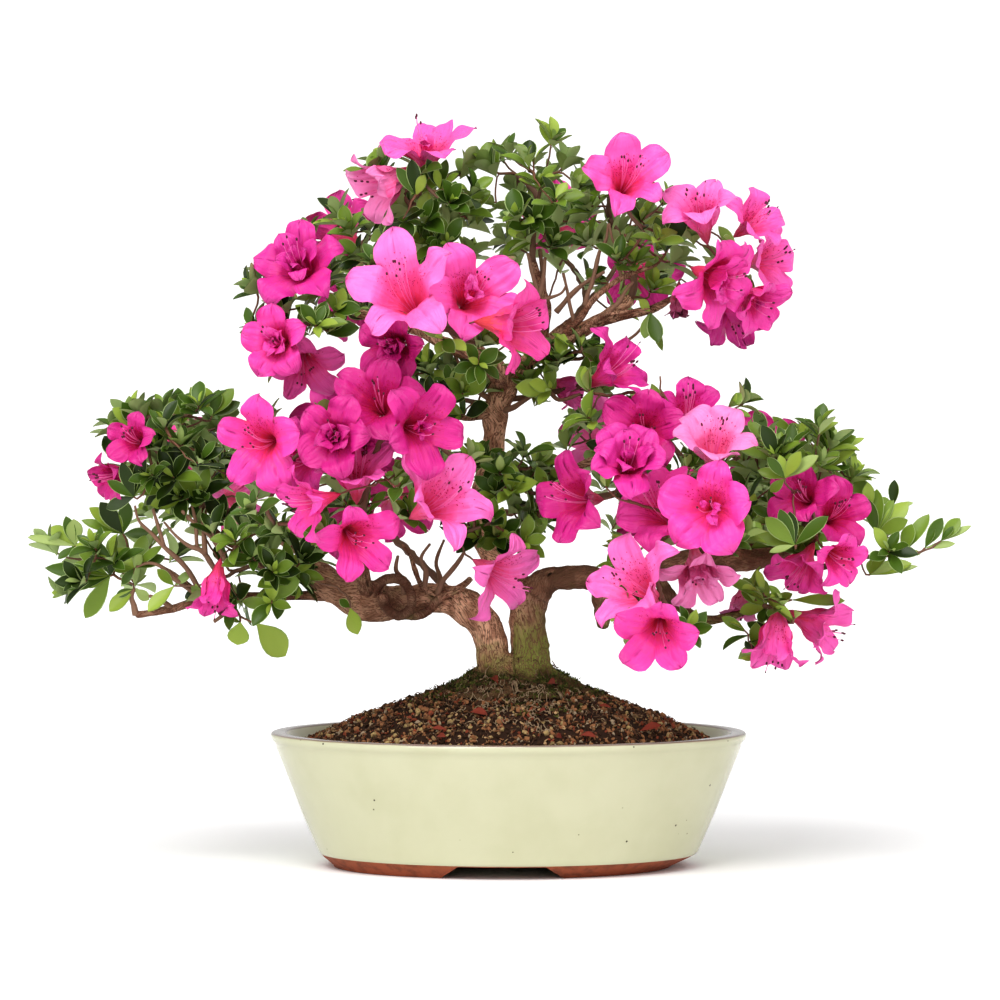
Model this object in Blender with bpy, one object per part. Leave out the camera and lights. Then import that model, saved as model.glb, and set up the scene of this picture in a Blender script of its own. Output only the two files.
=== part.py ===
"""A japanese azalea in flower, trained as a bonsai in a glazed oval pot.

Metres, +Z up. The photograph is taken from -Y, so +X is its right.
Places on the plant are given as the photograph shows them: a column and a row in its
pixels, and a depth in millimetres behind (+) or before (-) the plane of the trunk.
"""

import math
import random

import bmesh
import bpy
from mathutils import Vector
from mathutils.bvhtree import BVHTree

MM = 0.001

# The view that the places are read from
PIXEL = 0.6 * MM
CENTRE_COLUMN = 500
GROUND_ROW = 867
VIEWER = Vector((0.0, -3.2, 0.35))

# Pot: half length, depth for its length, and heights
POT_X = 5.1 * MM
POT_SIDES = 32
POT_DEPTH = 0.72
POT_HEIGHT = 81 * MM
POT_RIM = 143 * MM
POT_WALL = 6.5 * MM
POT_FOOT = 113.5 * MM
POT_LIP = 4.5 * MM
POT_FLOOR = 15 * MM
GLAZE_FROM = 8.2 * MM
FOOT_SHIFT = -4 * MM
FOOT_TREAD = 102 * MM
FOOT_INSIDE = 86 * MM
NOTCH_TOP = 52 * MM
NOTCH_BOTTOM = 69 * MM
DRAIN_RADIUS = 8 * MM
DRAIN_X = 48 * MM

# Soil: half lengths and heights of the mound, from the wall to the trunk's foot
GAP = 0.3 * MM
SOIL_RINGS = ((127, 76.5), (112, 82.5), (93, 88.5), (71, 96.5), (56, 101.5), (50, 103.6))
SOIL_TOP = 103.6 * MM

# Root flare round the two trunks: half length and height, then the surface roots
FLARE_X = 9 * MM
FLARE_RINGS = ((47, 0), (37, 4.5), (28, 9.5), (22, 16), (17, 22))
FLARE_DEPTH = 0.8
FLARE_ROOTS = 6
FLARE_WAVE = 0.16

# Leaves and blossom, larger than life where they are fewer than on the plant
LEAF_LENGTH = 28.5 * MM
LEAF_WIDTH = 0.5
LEAF_THICK = 3.2 * MM
WHORL_LEAVES = 5
PETALS = 5
TWIG_RADIUS = 0.9 * MM
CLEAR = 0.6 * MM
LEAF_BEYOND = 8 * MM
STRAIGHT = 26 * MM

BARK = (0.23, 0.15, 0.09)
BARK_YOUNG = (0.27, 0.14, 0.08)
LEAF_GREEN = (0.10, 0.20, 0.04)
PINK = (0.84, 0.05, 0.32)
GLAZE = (0.74, 0.75, 0.58)
SOIL = (0.09, 0.05, 0.03)

# Limbs: name, the limb whose tip it goes on from, or the limbs that its foot is cut to,
# sides, then column, row, depth and radius in mm
LIMBS = (
    ("left_trunk", "left_foot", 8, (
        (487, 630, -3, 10), (474, 613, -3, 10.3), (458, 602, -3, 9.2),
        (442, 598, -3, 8.4))),
    ("left_bough", "left_trunk", 8, (
        (405, 600, 0, 8.8), (386, 604, 0, 11), (363, 599, 0, 12.5),
        (338, 590, 0, 9.5), (308, 573, -2, 7), (288, 562, -5, 4.6))),
    ("left_low_bough", ("left_bough",), 5, (
        (345, 596, 0, 3.6), (296, 596, -3, 3.2), (255, 597, -5, 3.0), (204, 599, -6, 2.7),
        (172, 609, -6, 2.5), (136, 615, -6, 2.3))),
    ("left_tip_bough", ("left_low_bough",), 5, (
        (204, 599, -6, 2.2), (180, 579, -2, 2.0), (160, 566, 0, 1.8), (148, 559, 0, 1.6))),
    ("left_pad_bough", ("left_bough",), 5, (
        (300, 569, -2, 3.6), (262, 556, 6, 3.2), (225, 540, 4, 2.8), (207, 522, -2, 2.4),
        (203, 508, -4, 2.2))),
    ("left_front_bough", ("left_bough",), 5, (
        (368, 597, 0, 5), (362, 570, -38, 4.2), (358, 552, -60, 3.4))),
    ("left_back_bough", ("left_bough",), 5, (
        (350, 594, 2, 5), (316, 562, 44, 4), (272, 534, 74, 3))),
    ("right_trunk", "right_foot", 8, (
        (527, 623, 0, 11), (529, 606, 0, 10.6), (534, 594, 0, 9.8))),
    ("right_arch", "right_trunk", 8, (
        (545, 583, -1, 8.4), (562, 578, -2, 7.4), (585, 577, -4, 7.3),
        (602, 580, -5, 6.8))),
    ("right_bough", "right_arch", 6, (
        (640, 572, -4, 6.4), (680, 563, -2, 6.6), (715, 557, 0, 8),
        (745, 556, 0, 9.2), (768, 556, 0, 7.6), (783, 555, 0, 5.5))),
    ("right_stub", ("right_arch", "right_bough"), 6, (
        (600, 583, -5, 4.8), (601, 600, -4, 5.2), (602, 614, -3, 4.6), (603, 627, -3, 3))),
    ("right_low_bough", ("right_bough",), 5, (
        (652, 571, -4, 4), (674, 600, -6, 3.6), (702, 620, -8, 3.2), (735, 615, -14, 2.5),
        (758, 606, -20, 2.0))),
    ("right_front_bough", ("right_bough",), 5, (
        (645, 571, -4, 4.4), (650, 568, -36, 3.6), (652, 562, -58, 3))),
    ("right_tip_bough", ("right_bough",), 5, (
        (768, 557, 0, 3), (803, 569, 8, 2.4), (842, 563, 6, 2.0), (857, 559, 4, 1.8))),
    ("right_back_bough", ("right_bough",), 5, (
        (700, 558, 0, 4.6), (728, 536, 40, 3.6), (748, 516, 60, 3))),
    ("main_trunk_lower", ("right_trunk", "right_arch"), 8, (
        (527, 600, 2, 9), (508, 574, 6, 8.3), (490, 548, 8, 8), (481, 520, 9, 7.7),
        (483, 492, 9, 7.2))),
    ("main_trunk_upper", "main_trunk_lower", 8, (
        (491, 462, 8, 6.8), (494, 436, 7, 6.8), (496, 412, 6, 7.2),
        (504, 388, 5, 8), (509, 370, 4, 6.4))),
    ("mid_right_bough", ("main_trunk_lower",), 5, (
        (482, 508, 9, 3.8), (514, 486, 2, 3.3), (541, 479, -10, 2.9), (580, 466, -20, 2.6),
        (604, 455, -26, 2.4))),
    ("crown_left_bough", ("main_trunk_upper",), 6, (
        (505, 380, 5, 5.6), (492, 361, 0, 5.2), (470, 353, -6, 4.6), (445, 344, -12, 4),
        (418, 330, -16, 3.4), (380, 319, -18, 2.8), (354, 312, -20, 2.4))),
    ("crown_right_bough", ("main_trunk_upper", "crown_left_bough"), 6, (
        (508, 382, 5, 5.8), (528, 362, 2, 5.4), (548, 348, 0, 5), (585, 328, 0, 4.6),
        (610, 314, 0, 4), (630, 299, 0, 3.2))),
    ("crown_far_bough", ("crown_right_bough",), 5, (
        (592, 324, 0, 3.6), (622, 316, -8, 3), (652, 309, -12, 2.6), (672, 298, -14, 2.2))),
    ("crown_front_bough", ("main_trunk_upper", "crown_left_bough"), 5, (
        (503, 392, 5, 4.8), (488, 362, -32, 4), (474, 344, -54, 3.4))),
    ("crown_top_left_bough", ("crown_left_bough",), 5, (
        (472, 353, -6, 3.8), (470, 312, -4, 3.2), (458, 275, -6, 2.8), (449, 252, -8, 2.4))),
    ("crown_top_bough", ("crown_right_bough",), 5, (
        (537, 355, 1, 4.2), (546, 312, 2, 3.4), (537, 280, 0, 3), (533, 262, 0, 2.6))),
    ("back_crown_left_bough", ("main_trunk_upper", "crown_left_bough"), 5, (
        (500, 400, 5, 4.4), (474, 356, 42, 3.8), (452, 330, 60, 3))),
    ("back_crown_right_bough", ("main_trunk_upper", "crown_right_bough", "back_crown_left_bough"), 5, (
        (505, 390, 5, 4.4), (546, 345, 44, 3.8), (570, 322, 60, 3))),
)

# Masses: name, limb, how far along it the stem starts (1 is its tip), centre, half sizes in mm, whorls
MASSES = (
    ("left_tip", "left_tip_bough", 1, (108, 563, 0), (49, 46, 30), 7),
    ("left_pad", "left_pad_bough", 1, (178, 450, -5), (49, 62, 42), 9),
    ("left_under", "left_bough", 1, (248, 562, -30), (50, 46, 36), 7),
    ("left_flowers", "left_front_bough", 1, (352, 470, -95), (86, 46, 58), 5),
    ("centre_spray", "main_trunk_lower", 0.9, (508, 496, -42), (35, 32, 40), 7),
    ("inner_left_spray", "main_trunk_upper", 0.62, (448, 388, -8), (28, 32, 24), 3),
    ("inner_right_spray", "main_trunk_upper", 0.66, (566, 374, -4), (32, 34, 26), 4),
    ("crown_left_flowers", "crown_left_bough", 1, (298, 315, -32), (36, 40, 54), 4),
    ("crown_front_flowers", "crown_front_bough", 1, (446, 306, -92), (68, 40, 50), 3),
    ("crown_top_left", "crown_top_left_bough", 1, (426, 196, -10), (45, 56, 42), 7),
    ("crown_top", "crown_top_bough", 1, (535, 192, 0), (37, 66, 47), 8),
    ("crown_right", "crown_right_bough", 1, (635, 230, 0), (40, 60, 52), 8),
    ("crown_right_flowers", "crown_far_bough", 1, (735, 258, -18), (36, 48, 46), 2),
    ("right_upper_flowers", "mid_right_bough", 1, (662, 408, -55), (62, 44, 42), 3),
    ("right_flowers", "right_front_bough", 1, (655, 548, -98), (68, 42, 70), 4),
    ("right_pad", "right_bough", 1, (796, 486, -12), (44, 58, 54), 9),
    ("right_tip", "right_tip_bough", 1, (906, 532, 0), (40, 42, 31), 6),
    ("right_low", "right_low_bough", 1, (790, 622, -42), (38, 36, 34), 4),
    ("back_left_pad", "left_back_bough", 1, (196, 472, 98), (62, 48, 42), 6),
    ("back_left_inner", "left_trunk", 0.8, (368, 474, 84), (56, 50, 52), 5),
    ("back_crown_left", "back_crown_left_bough", 1, (385, 262, 84), (66, 46, 54), 6),
    ("back_crown_right", "back_crown_right_bough", 1, (590, 250, 86), (66, 46, 56), 6),
    ("back_right_inner", "main_trunk_lower", 0.75, (628, 468, 80), (54, 48, 54), 5),
    ("back_right_pad", "right_back_bough", 1, (782, 484, 92), (56, 48, 46), 6),
)

# Blooms: mass, column, row and depth of the throat, turn to the right, tilt up, radius in mm.
# A bloom that would touch another goes nearer to the viewer or further back by these steps
BLOOM_SHIFTS = tuple(side * step * MM for step in range(0, 42, 3) for side in (-1, 1))
BLOOMS = (
    ("crown_top_left", 426, 143, -20, 5, 62, 30),
    ("crown_top_left", 380, 183, -30, -68, -12, 27),
    ("crown_left_flowers", 303, 270, -40, -8, 12, 30),
    ("crown_left_flowers", 284, 336, -60, -38, 2, 28),
    ("crown_left_flowers", 306, 362, -20, 8, -38, 28),
    ("crown_front_flowers", 405, 292, -120, -6, 12, 35),
    ("crown_front_flowers", 466, 294, -90, 6, 4, 31),
    ("crown_front_flowers", 516, 328, -110, 58, -14, 28),
    ("crown_front_flowers", 394, 350, -90, -2, -34, 28),
    ("left_flowers", 268, 438, -100, -4, 6, 30),
    ("left_flowers", 378, 402, -100, -10, 22, 28),
    ("left_flowers", 426, 416, -130, 14, 6, 28),
    ("left_flowers", 336, 440, -120, -8, 0, 28),
    ("left_flowers", 300, 458, -80, -30, -10, 26),
    ("left_flowers", 312, 497, -120, -58, -6, 26),
    ("left_flowers", 356, 474, -110, 6, 42, 27),
    ("left_flowers", 356, 538, -110, -18, -42, 29),
    ("left_flowers", 434, 504, -120, 26, 8, 33),
    ("centre_spray", 492, 570, -70, 62, -22, 29),
    ("left_under", 213, 592, -50, -16, -66, 27),
    ("left_pad", 134, 440, -40, -24, 10, 22),
    ("left_pad", 114, 470, -20, -55, -5, 20),
    ("crown_right", 625, 178, -50, 4, 12, 28),
    ("crown_right_flowers", 709, 204, -40, 24, 26, 28),
    ("crown_right_flowers", 714, 266, -60, 8, -4, 34),
    ("crown_right_flowers", 758, 226, -10, 50, 30, 24),
    ("crown_right_flowers", 770, 262, 20, 58, 2, 26),
    ("crown_right_flowers", 758, 300, -30, 42, -22, 25),
    ("crown_right_flowers", 729, 306, 0, 10, -62, 26),
    ("inner_right_spray", 566, 388, 10, 72, -22, 20),
    ("right_upper_flowers", 606, 368, -50, 56, 16, 30),
    ("right_upper_flowers", 648, 416, -70, -2, 42, 29),
    ("right_upper_flowers", 698, 408, -40, 24, 50, 26),
    ("right_upper_flowers", 712, 446, -100, 4, 34, 31),
    ("right_flowers", 624, 454, -110, -4, 10, 29),
    ("right_flowers", 586, 492, -80, -42, -8, 31),
    ("right_flowers", 658, 512, -90, -6, 6, 29),
    ("right_flowers", 711, 507, -130, 6, 0, 32),
    ("right_flowers", 644, 577, -110, -14, 10, 31),
    ("right_flowers", 696, 566, -80, 10, -44, 28),
    ("right_flowers", 659, 626, -130, 0, -6, 33),
    ("right_pad", 838, 514, -30, 34, 4, 28),
    ("right_pad", 802, 494, -60, -22, 16, 24),
    ("right_pad", 802, 560, -40, -6, -40, 28),
    ("right_low", 786, 634, -50, -18, -62, 28),
    ("right_low", 816, 626, -20, 66, -16, 27),
    ("back_left_pad", 176, 440, 152, 200, 15, 28),
    ("back_left_pad", 236, 500, 130, 160, -8, 28),
    ("back_left_inner", 330, 430, 120, 190, 12, 30),
    ("back_left_inner", 400, 500, 110, 165, -10, 29),
    ("back_left_inner", 350, 520, 90, 215, -20, 27),
    ("back_crown_left", 340, 230, 110, 215, 22, 28),
    ("back_crown_left", 420, 290, 120, 175, 0, 31),
    ("back_crown_left", 350, 305, 100, 230, -14, 27),
    ("back_crown_right", 560, 220, 130, 172, 20, 29),
    ("back_crown_right", 640, 270, 120, 160, 0, 31),
    ("back_right_inner", 600, 440, 120, 185, 14, 30),
    ("back_right_inner", 650, 500, 110, 160, -12, 29),
    ("back_right_pad", 760, 450, 130, 175, 18, 29),
    ("back_right_pad", 820, 500, 120, 140, -6, 28),
)

# Windows of sky that the photograph shows between the masses: column, row and half sizes
SKY = (
    (535, 424, 20, 18), (690, 362, 46, 18), (344, 354, 20, 12), (470, 426, 9, 10),
    (580, 640, 34, 44), (160, 655, 60, 14), (470, 655, 40, 20), (598, 262, 9, 14),
    (825, 612, 24, 5), (590, 530, 12, 12),
)


def seen(column, row, depth):
    """The point at this depth that the photograph shows at this column and row."""
    on_plane = Vector((
        (column - CENTRE_COLUMN) * PIXEL,
        0.0,
        (GROUND_ROW - row) * PIXEL,
    ))
    share = (depth * MM - VIEWER.y) / -VIEWER.y
    return VIEWER + (on_plane - VIEWER) * share


def shown(point):
    """The column and row at which the photograph shows a point."""
    on_plane = VIEWER + (point - VIEWER) * (-VIEWER.y / (point.y - VIEWER.y))
    return CENTRE_COLUMN + on_plane.x / PIXEL, GROUND_ROW - on_plane.z / PIXEL


def in_sky(point):
    column, row = shown(point)
    return any(
        ((column - x) / wide) ** 2 + ((row - y) / high) ** 2 < 1
        for x, y, wide, high in SKY
    )


def facing(turn, tilt):
    """The direction of a bloom that is turned this far to the right and tilted this far up."""
    turn, tilt = math.radians(turn), math.radians(tilt)
    return Vector((
        math.sin(turn) * math.cos(tilt),
        -math.cos(turn) * math.cos(tilt),
        math.sin(tilt),
    ))


def sideways(axis):
    """Two unit vectors across an axis and across each other."""
    first = axis.cross(Vector((0, 0, 1)))
    if first.length < 0.2:
        first = axis.cross(Vector((1, 0, 0)))
    first.normalize()
    return first, axis.cross(first).normalized()


def material(name, colour, roughness):
    made = bpy.data.materials.new(name)
    made.use_nodes = True
    shader = made.node_tree.nodes["Principled BSDF"]
    shader.inputs["Base Color"].default_value = (*colour, 1)
    shader.inputs["Roughness"].default_value = roughness
    shader.inputs["Metallic"].default_value = 0
    return made


def add_object(name, points, faces, collection=None):
    mesh = bpy.data.meshes.new(name)
    mesh.from_pydata([tuple(p) for p in points], [], faces)
    made = bpy.data.objects.new(name, mesh)
    (collection or bpy.context.scene.collection).objects.link(made)
    return made


def finish(made, colour, roughness, smooth=False):
    made.data.materials.clear()
    made.data.materials.append(material(made.name, colour, roughness))
    if smooth:
        made.data.shade_smooth()
        made.data.set_sharp_from_angle(angle=math.radians(75))
    else:
        made.data.shade_flat()


def boolean(target, other, operation):
    cut = target.modifiers.new(operation.title(), "BOOLEAN")
    cut.operation = operation
    if isinstance(other, bpy.types.Collection):
        cut.operand_type = "COLLECTION"
        cut.collection = other
    else:
        cut.object = other
    return cut


def apply_modifiers(made):
    graph = bpy.context.evaluated_depsgraph_get()
    mesh = bpy.data.meshes.new_from_object(made.evaluated_get(graph))
    made.modifiers.clear()
    made.data = mesh


def remove(made):
    bpy.data.objects.remove(made)


def rings_to_solid(rings):
    """Points and faces of the closed skin over rings of equal count, its ends capped."""
    count = len(rings[0])
    points = [p for ring in rings for p in ring]
    faces = []
    for level in range(len(rings) - 1):
        low = level * count
        for i in range(count):
            j = (i + 1) % count
            faces.append((low + i, low + j, low + count + j))
            faces.append((low + i, low + count + j, low + count + i))
    faces.append(tuple(reversed(range(count))))
    last = (len(rings) - 1) * count
    faces.append(tuple(range(last, last + count)))
    return points, faces


def oval(half_length, height, centre_x, depth=POT_DEPTH, sides=POT_SIDES, wave=0.0, waves=0):
    """A level ring of points, wavy round its edge where it is asked for."""
    ring = []
    for i in range(sides):
        angle = 2 * math.pi * i / sides
        out = half_length * (1 + wave * math.cos(waves * angle + 0.6))
        ring.append(Vector((
            centre_x + out * math.cos(angle),
            out * depth * math.sin(angle),
            height,
        )))
    return ring


def make_pot():
    inside = POT_WALL / POT_DEPTH
    foot = (
        (FOOT_TREAD - 2 * MM, 0),
        (FOOT_TREAD, 1.2 * MM),
        (POT_FOOT - 1.5 * MM, GLAZE_FROM - 0.8 * MM),
    )
    wall = (
        (POT_FOOT, GLAZE_FROM),
        (POT_FOOT + 11 * MM, 33 * MM),
        (POT_RIM - 3 * MM, POT_HEIGHT - POT_LIP - 4 * MM),
        (POT_RIM - 0.6 * MM, POT_HEIGHT - POT_LIP),
        (POT_RIM, POT_HEIGHT - POT_LIP / 2),
        (POT_RIM - 1.2 * MM, POT_HEIGHT),
        (POT_RIM - inside, POT_HEIGHT),
        (POT_RIM - inside - 2 * MM, POT_HEIGHT - 3 * MM),
        (POT_FOOT + 1 * MM, POT_FLOOR + 8 * MM),
        (POT_FOOT - 5 * MM, POT_FLOOR),
    )
    pot = add_object("pot", *rings_to_solid([
        *(oval(half, z, POT_X + FOOT_SHIFT * (1 - z / GLAZE_FROM)) for half, z in foot),
        *(oval(half, z, POT_X) for half, z in wall),
    ]))
    hollow = add_object("pot_foot_hollow", *rings_to_solid([
        oval(FOOT_INSIDE, -5 * MM, POT_X + FOOT_SHIFT),
        oval(FOOT_INSIDE + 1 * MM, GLAZE_FROM, POT_X + FOOT_SHIFT),
    ]))
    notch = [
        Vector((POT_X + FOOT_SHIFT + x, y, z))
        for y in (-150 * MM, 150 * MM)
        for x, z in (
            (-NOTCH_BOTTOM * 0.62, -5 * MM),
            (NOTCH_BOTTOM * 0.62, -5 * MM),
            (NOTCH_TOP / 2, GLAZE_FROM - 0.6 * MM),
            (-NOTCH_TOP / 2, GLAZE_FROM - 0.6 * MM),
        )
    ]
    notch = add_object("pot_notch", *rings_to_solid([notch[4:], notch[:4]]))
    drains = [
        add_object("pot_drain", *rings_to_solid([
            oval(DRAIN_RADIUS, z, POT_X + side * DRAIN_X, depth=1, sides=12)
            for z in (-5 * MM, POT_FLOOR + 5 * MM)
        ]))
        for side in (-1, 1)
    ]
    for helper in (hollow, notch, *drains):
        boolean(pot, helper, "DIFFERENCE")
        helper.hide_render = True
        helper.display_type = "WIRE"
    finish(pot, GLAZE, 0.25, smooth=True)


def pot_inside(height):
    """Half length of the space in the pot at a height above its floor's rounded edge."""
    low, high = POT_FLOOR + 8 * MM, POT_HEIGHT - 3 * MM
    wide, narrow = POT_RIM - POT_WALL / POT_DEPTH - 2 * MM, POT_FOOT + 1 * MM
    return narrow + (wide - narrow) * (height - low) / (high - low)


def make_soil():
    clear = GAP / POT_DEPTH
    edge, top = SOIL_RINGS[0][0] * MM, SOIL_RINGS[0][1] * MM
    rings = [
        oval(POT_FOOT - 5 * MM - clear, POT_FLOOR + GAP, POT_X),
        oval(pot_inside(POT_FLOOR + 8 * MM) - clear, POT_FLOOR + 8 * MM, POT_X),
        oval(pot_inside(top - 1.5 * MM) - clear, top - 1.5 * MM, POT_X),
        oval(edge, top, POT_X),
    ]
    for half, height in SOIL_RINGS[1:]:
        share = (half - SOIL_RINGS[-1][0]) / (SOIL_RINGS[0][0] - SOIL_RINGS[-1][0])
        middle = POT_X * share + FLARE_X * (1 - share)
        rings.append(oval(half * MM, height * MM, middle, wave=0.012, waves=7))
    soil = add_object("soil", *rings_to_solid(rings))
    finish(soil, SOIL, 1.0)


def smooth_path(stations, steps, first=None):
    """Centres and radii on a curve through the stations (Catmull-Rom)."""
    points = ([first] if first else []) + [(seen(*s[:3]), s[3] * MM) for s in stations]
    path = []
    for i in range(len(points) - 1):
        around = [points[max(i - 1, 0)], points[i], points[i + 1], points[min(i + 2, len(points) - 1)]]
        for step in range(steps):
            t = step / steps
            weights = (
                -t / 2 + t * t - t ** 3 / 2,
                1 - 5 * t * t / 2 + 3 * t ** 3 / 2,
                t / 2 + 2 * t * t - 3 * t ** 3 / 2,
                -t * t / 2 + t ** 3 / 2,
            )
            centre = sum((w * p for w, (p, _) in zip(weights, around)), Vector())
            path.append((centre, sum(w * r for w, (_, r) in zip(weights, around))))
    path.append(points[-1])
    return path


def tube(path, sides, more=0.0, lumps=0.05, first_way=None):
    """Rings round a path. The skin is moved out by more, and so are its two ends."""
    count = len(path)
    tangents = [
        (path[min(i + 1, count - 1)][0] - path[max(i - 1, 0)][0]).normalized()
        for i in range(count)
    ]
    tangents[0] = first_way or tangents[0]
    across, _ = sideways(tangents[0])
    rings = []
    for i, (centre, radius) in enumerate(path):
        tangent = tangents[i]
        across = (across - tangent * across.dot(tangent)).normalized()
        up = tangent.cross(across)
        if i == 0:
            centre = centre - tangent * more
        if i == count - 1:
            centre = centre + tangent * more
        ring = []
        for k in range(sides):
            angle = 2 * math.pi * k / sides
            lump = 1 + lumps * math.sin(3 * angle + 1.7 * i) * math.cos(1.3 * i + angle)
            out = radius * lump + more
            ring.append(centre + (across * math.cos(angle) + up * math.sin(angle)) * out)
        rings.append(ring)
    return rings


def make_limb(name, parents, sides, stations, paths, guards):
    """A tapering limb. It goes on from another's tip, or its foot is cut to sit clear of others."""
    first = way = None
    if isinstance(parents, str):
        before = paths[parents]
        way = (before[-1][0] - before[-2][0]).normalized()
        first = (before[-1][0] + way * GAP, before[-1][1] * 0.98)
    path = smooth_path(stations, 2 if sides > 6 else 1, first)
    paths[name] = path
    limb = add_object(name, *rings_to_solid(tube(path, sides, first_way=way)))
    for parent in () if first else parents:
        cutter = add_object("cutter", *guards[parent])
        boolean(limb, cutter, "DIFFERENCE")
        apply_modifiers(limb)
        remove(cutter)
    keep_largest(limb)
    guards[name] = rings_to_solid(tube(path, sides, more=GAP, first_way=way))
    finish(limb, BARK if sides > 5 else BARK_YOUNG, 0.9, smooth=True)


def make_trunk_base(paths, guards):
    """The flat-bottomed root flare with the feet of both trunks fused on."""
    bottom = SOIL_TOP + GAP
    rings = [
        oval(half * MM, bottom + height * MM, FLARE_X, FLARE_DEPTH, 24,
             FLARE_WAVE * (1 - level / len(FLARE_RINGS)), FLARE_ROOTS)
        for level, (half, height) in enumerate(FLARE_RINGS)
    ]
    base = add_object("trunk_base", *rings_to_solid(rings))
    legs = bpy.data.collections.new("legs")
    bpy.context.scene.collection.children.link(legs)
    feet = {
        "left_foot": ((502, 688, 0, 9), (494, 668, -2, 10.4), (492, 648, -3, 9.7)),
        "right_foot": ((528, 688, 0, 11), (530, 668, 0, 12.8), (530, 648, 0, 11.5)),
    }
    for name, stations in feet.items():
        path = smooth_path(stations, 2)
        add_object(name, *rings_to_solid(tube(path, 8)), legs)
        guards[name] = rings_to_solid(tube(path, 8, more=GAP))
        paths[name] = path
    boolean(base, legs, "UNION")
    apply_modifiers(base)
    for leg in list(legs.objects):
        remove(leg)
    bpy.data.collections.remove(legs)
    finish(base, BARK, 0.9)


def keep_largest(made):
    """Drops loose scraps and fills sealed hollows: only the largest closed skin stays."""
    work = bmesh.new()
    work.from_mesh(made.data)
    bmesh.ops.triangulate(work, faces=work.faces)
    left = set(work.faces)
    groups = []
    while left:
        group, front = set(), [next(iter(left))]
        while front:
            face = front.pop()
            if face in group:
                continue
            group.add(face)
            for edge in face.edges:
                if len(edge.link_faces) == 2:
                    front.extend(edge.link_faces)
        left -= group
        groups.append(group)
    groups.sort(key=len)
    spare = [face for group in groups[:-1] for face in group]
    if spare:
        bmesh.ops.delete(work, geom=spare, context="FACES")
    work.to_mesh(made.data)
    work.free()


def frame_along(path):
    """Tangent and two directions across at each point of a path, turned as little as it allows."""
    count = len(path)
    frames = []
    across = None
    for i in range(count):
        tangent = (path[min(i + 1, count - 1)] - path[max(i - 1, 0)]).normalized()
        if across is None:
            across = sideways(tangent)[0]
        across = (across - tangent * across.dot(tangent)).normalized()
        frames.append((tangent, across, tangent.cross(across)))
    return frames


def sprig(path, radii, axis, lobes, front):
    """One closed skin: a three-sided twig along a path that opens into a star of lobes.

    Each lobe gives points of the star's rim as a turn and a reach, the first of them the notch
    before the lobe, and how far it rises. The path's last point is the star's hub.
    """
    hub = path[-1]
    frames = frame_along(path[:-1] + [path[-2] + axis])[:-1]
    rings = []
    for (_, across, up), centre, radius in zip(frames, path, radii):
        rings.append([
            centre + (across * math.cos(a) + up * math.sin(a)) * radius
            for a in (0, math.tau / 3, 2 * math.tau / 3)
        ])
    points, faces = rings_to_solid(rings)
    faces.pop()
    across = frames[-1][1]
    across = (across - axis * across.dot(axis)).normalized()
    up = axis.cross(across)
    level = math.atan2(up.z, across.z)
    inner = len(points) - 3
    outer = len(points)
    corners = []
    for angle, rim, rise in lobes:
        corner = round((level + angle) / (math.tau / 3)) % 3
        for turn, out in rim:
            lift = math.radians(rise) * (0.5 if turn == rim[0][0] else 1)
            turned = level + angle + turn
            around = across * math.cos(turned) + up * math.sin(turned)
            points.append(hub + (around * math.cos(lift) + axis * math.sin(lift)) * out)
            corners.append(corner)
    count = len(corners)
    points.append(hub + axis * front)
    for i in range(count):
        j = (i + 1) % count
        faces.append((outer + i, outer + j, outer + count))
        faces.append((outer + j, outer + i, inner + corners[i]))
        if corners[i] != corners[j]:
            faces.append((outer + j, inner + corners[i], inner + corners[j]))
    return points, faces


def whorl(rng):
    """The leaves of one tip, as lobes round its axis."""
    sector = math.pi / WHORL_LEAVES
    start = rng.uniform(0, math.tau)
    lobes = []
    for i in range(WHORL_LEAVES):
        rise = rng.uniform(12, 48)
        long = LEAF_LENGTH * rng.uniform(0.82, 1.08)
        wide = math.atan(LEAF_WIDTH / 2 / (0.6 * math.cos(math.radians(rise))))
        wide = min(wide, sector * 0.8)
        lobes.append((
            start + i * 2 * sector + rng.uniform(-0.08, 0.08),
            ((-sector, 0.13 * LEAF_LENGTH), (-wide, 0.62 * long), (0, long), (wide, 0.62 * long)),
            rise,
        ))
    return lobes


def petals(radius):
    """The blunt petals of a bloom, one of them up."""
    sector = math.pi / PETALS
    return [
        (i * 2 * sector, ((-sector, 0.52 * radius), (-0.3, radius), (0.3, radius)), 16)
        for i in range(PETALS)
    ]


def centre_of(shape):
    return sum(shape[0], Vector()) / len(shape[0])


def grown(shape, centre, more):
    """The same shape moved out from its centre, for the test of what it would touch."""
    points, faces = shape
    return [p + (p - centre).normalized() * more for p in points], faces


def tree_of(shape):
    points, faces = shape
    return BVHTree.FromPolygons([tuple(p) for p in points], faces)


def crosses_itself(shape):
    """Whether two faces of a skin that share no corner cross, which would spoil its union."""
    tree = tree_of(shape)
    faces = shape[1]
    return any(not set(faces[a]) & set(faces[b]) for a, b in tree.overlap(tree))


class Garden:
    """What is placed so far, to keep each new piece clear of the other nodes."""

    def __init__(self, guards):
        self.limbs = {
            name: tree_of((points, faces)) for name, (points, faces) in guards.items()
        }
        self.pieces = []

    def touched(self, owner, shape):
        """The name of a limb or of another node that this shape would come too near to."""
        centre = centre_of(shape)
        tested = tree_of(grown(shape, centre, CLEAR))
        for name, limb in self.limbs.items():
            if limb.overlap(tested):
                return name
        reach = max((p - centre).length for p in shape[0])
        for other, tree, middle, radius in self.pieces:
            near = (middle - centre).length < reach + radius + CLEAR
            if other != owner and near and tree.overlap(tested):
                return other
        return None

    def place(self, owner, shape):
        centre = centre_of(shape)
        reach = max((p - centre).length for p in shape[0])
        self.pieces.append((owner, tree_of(shape), centre, reach))


def halton(index, base):
    value, share = 0.0, 1.0
    while index:
        share /= base
        value += share * (index % base)
        index //= base
    return value


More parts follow.
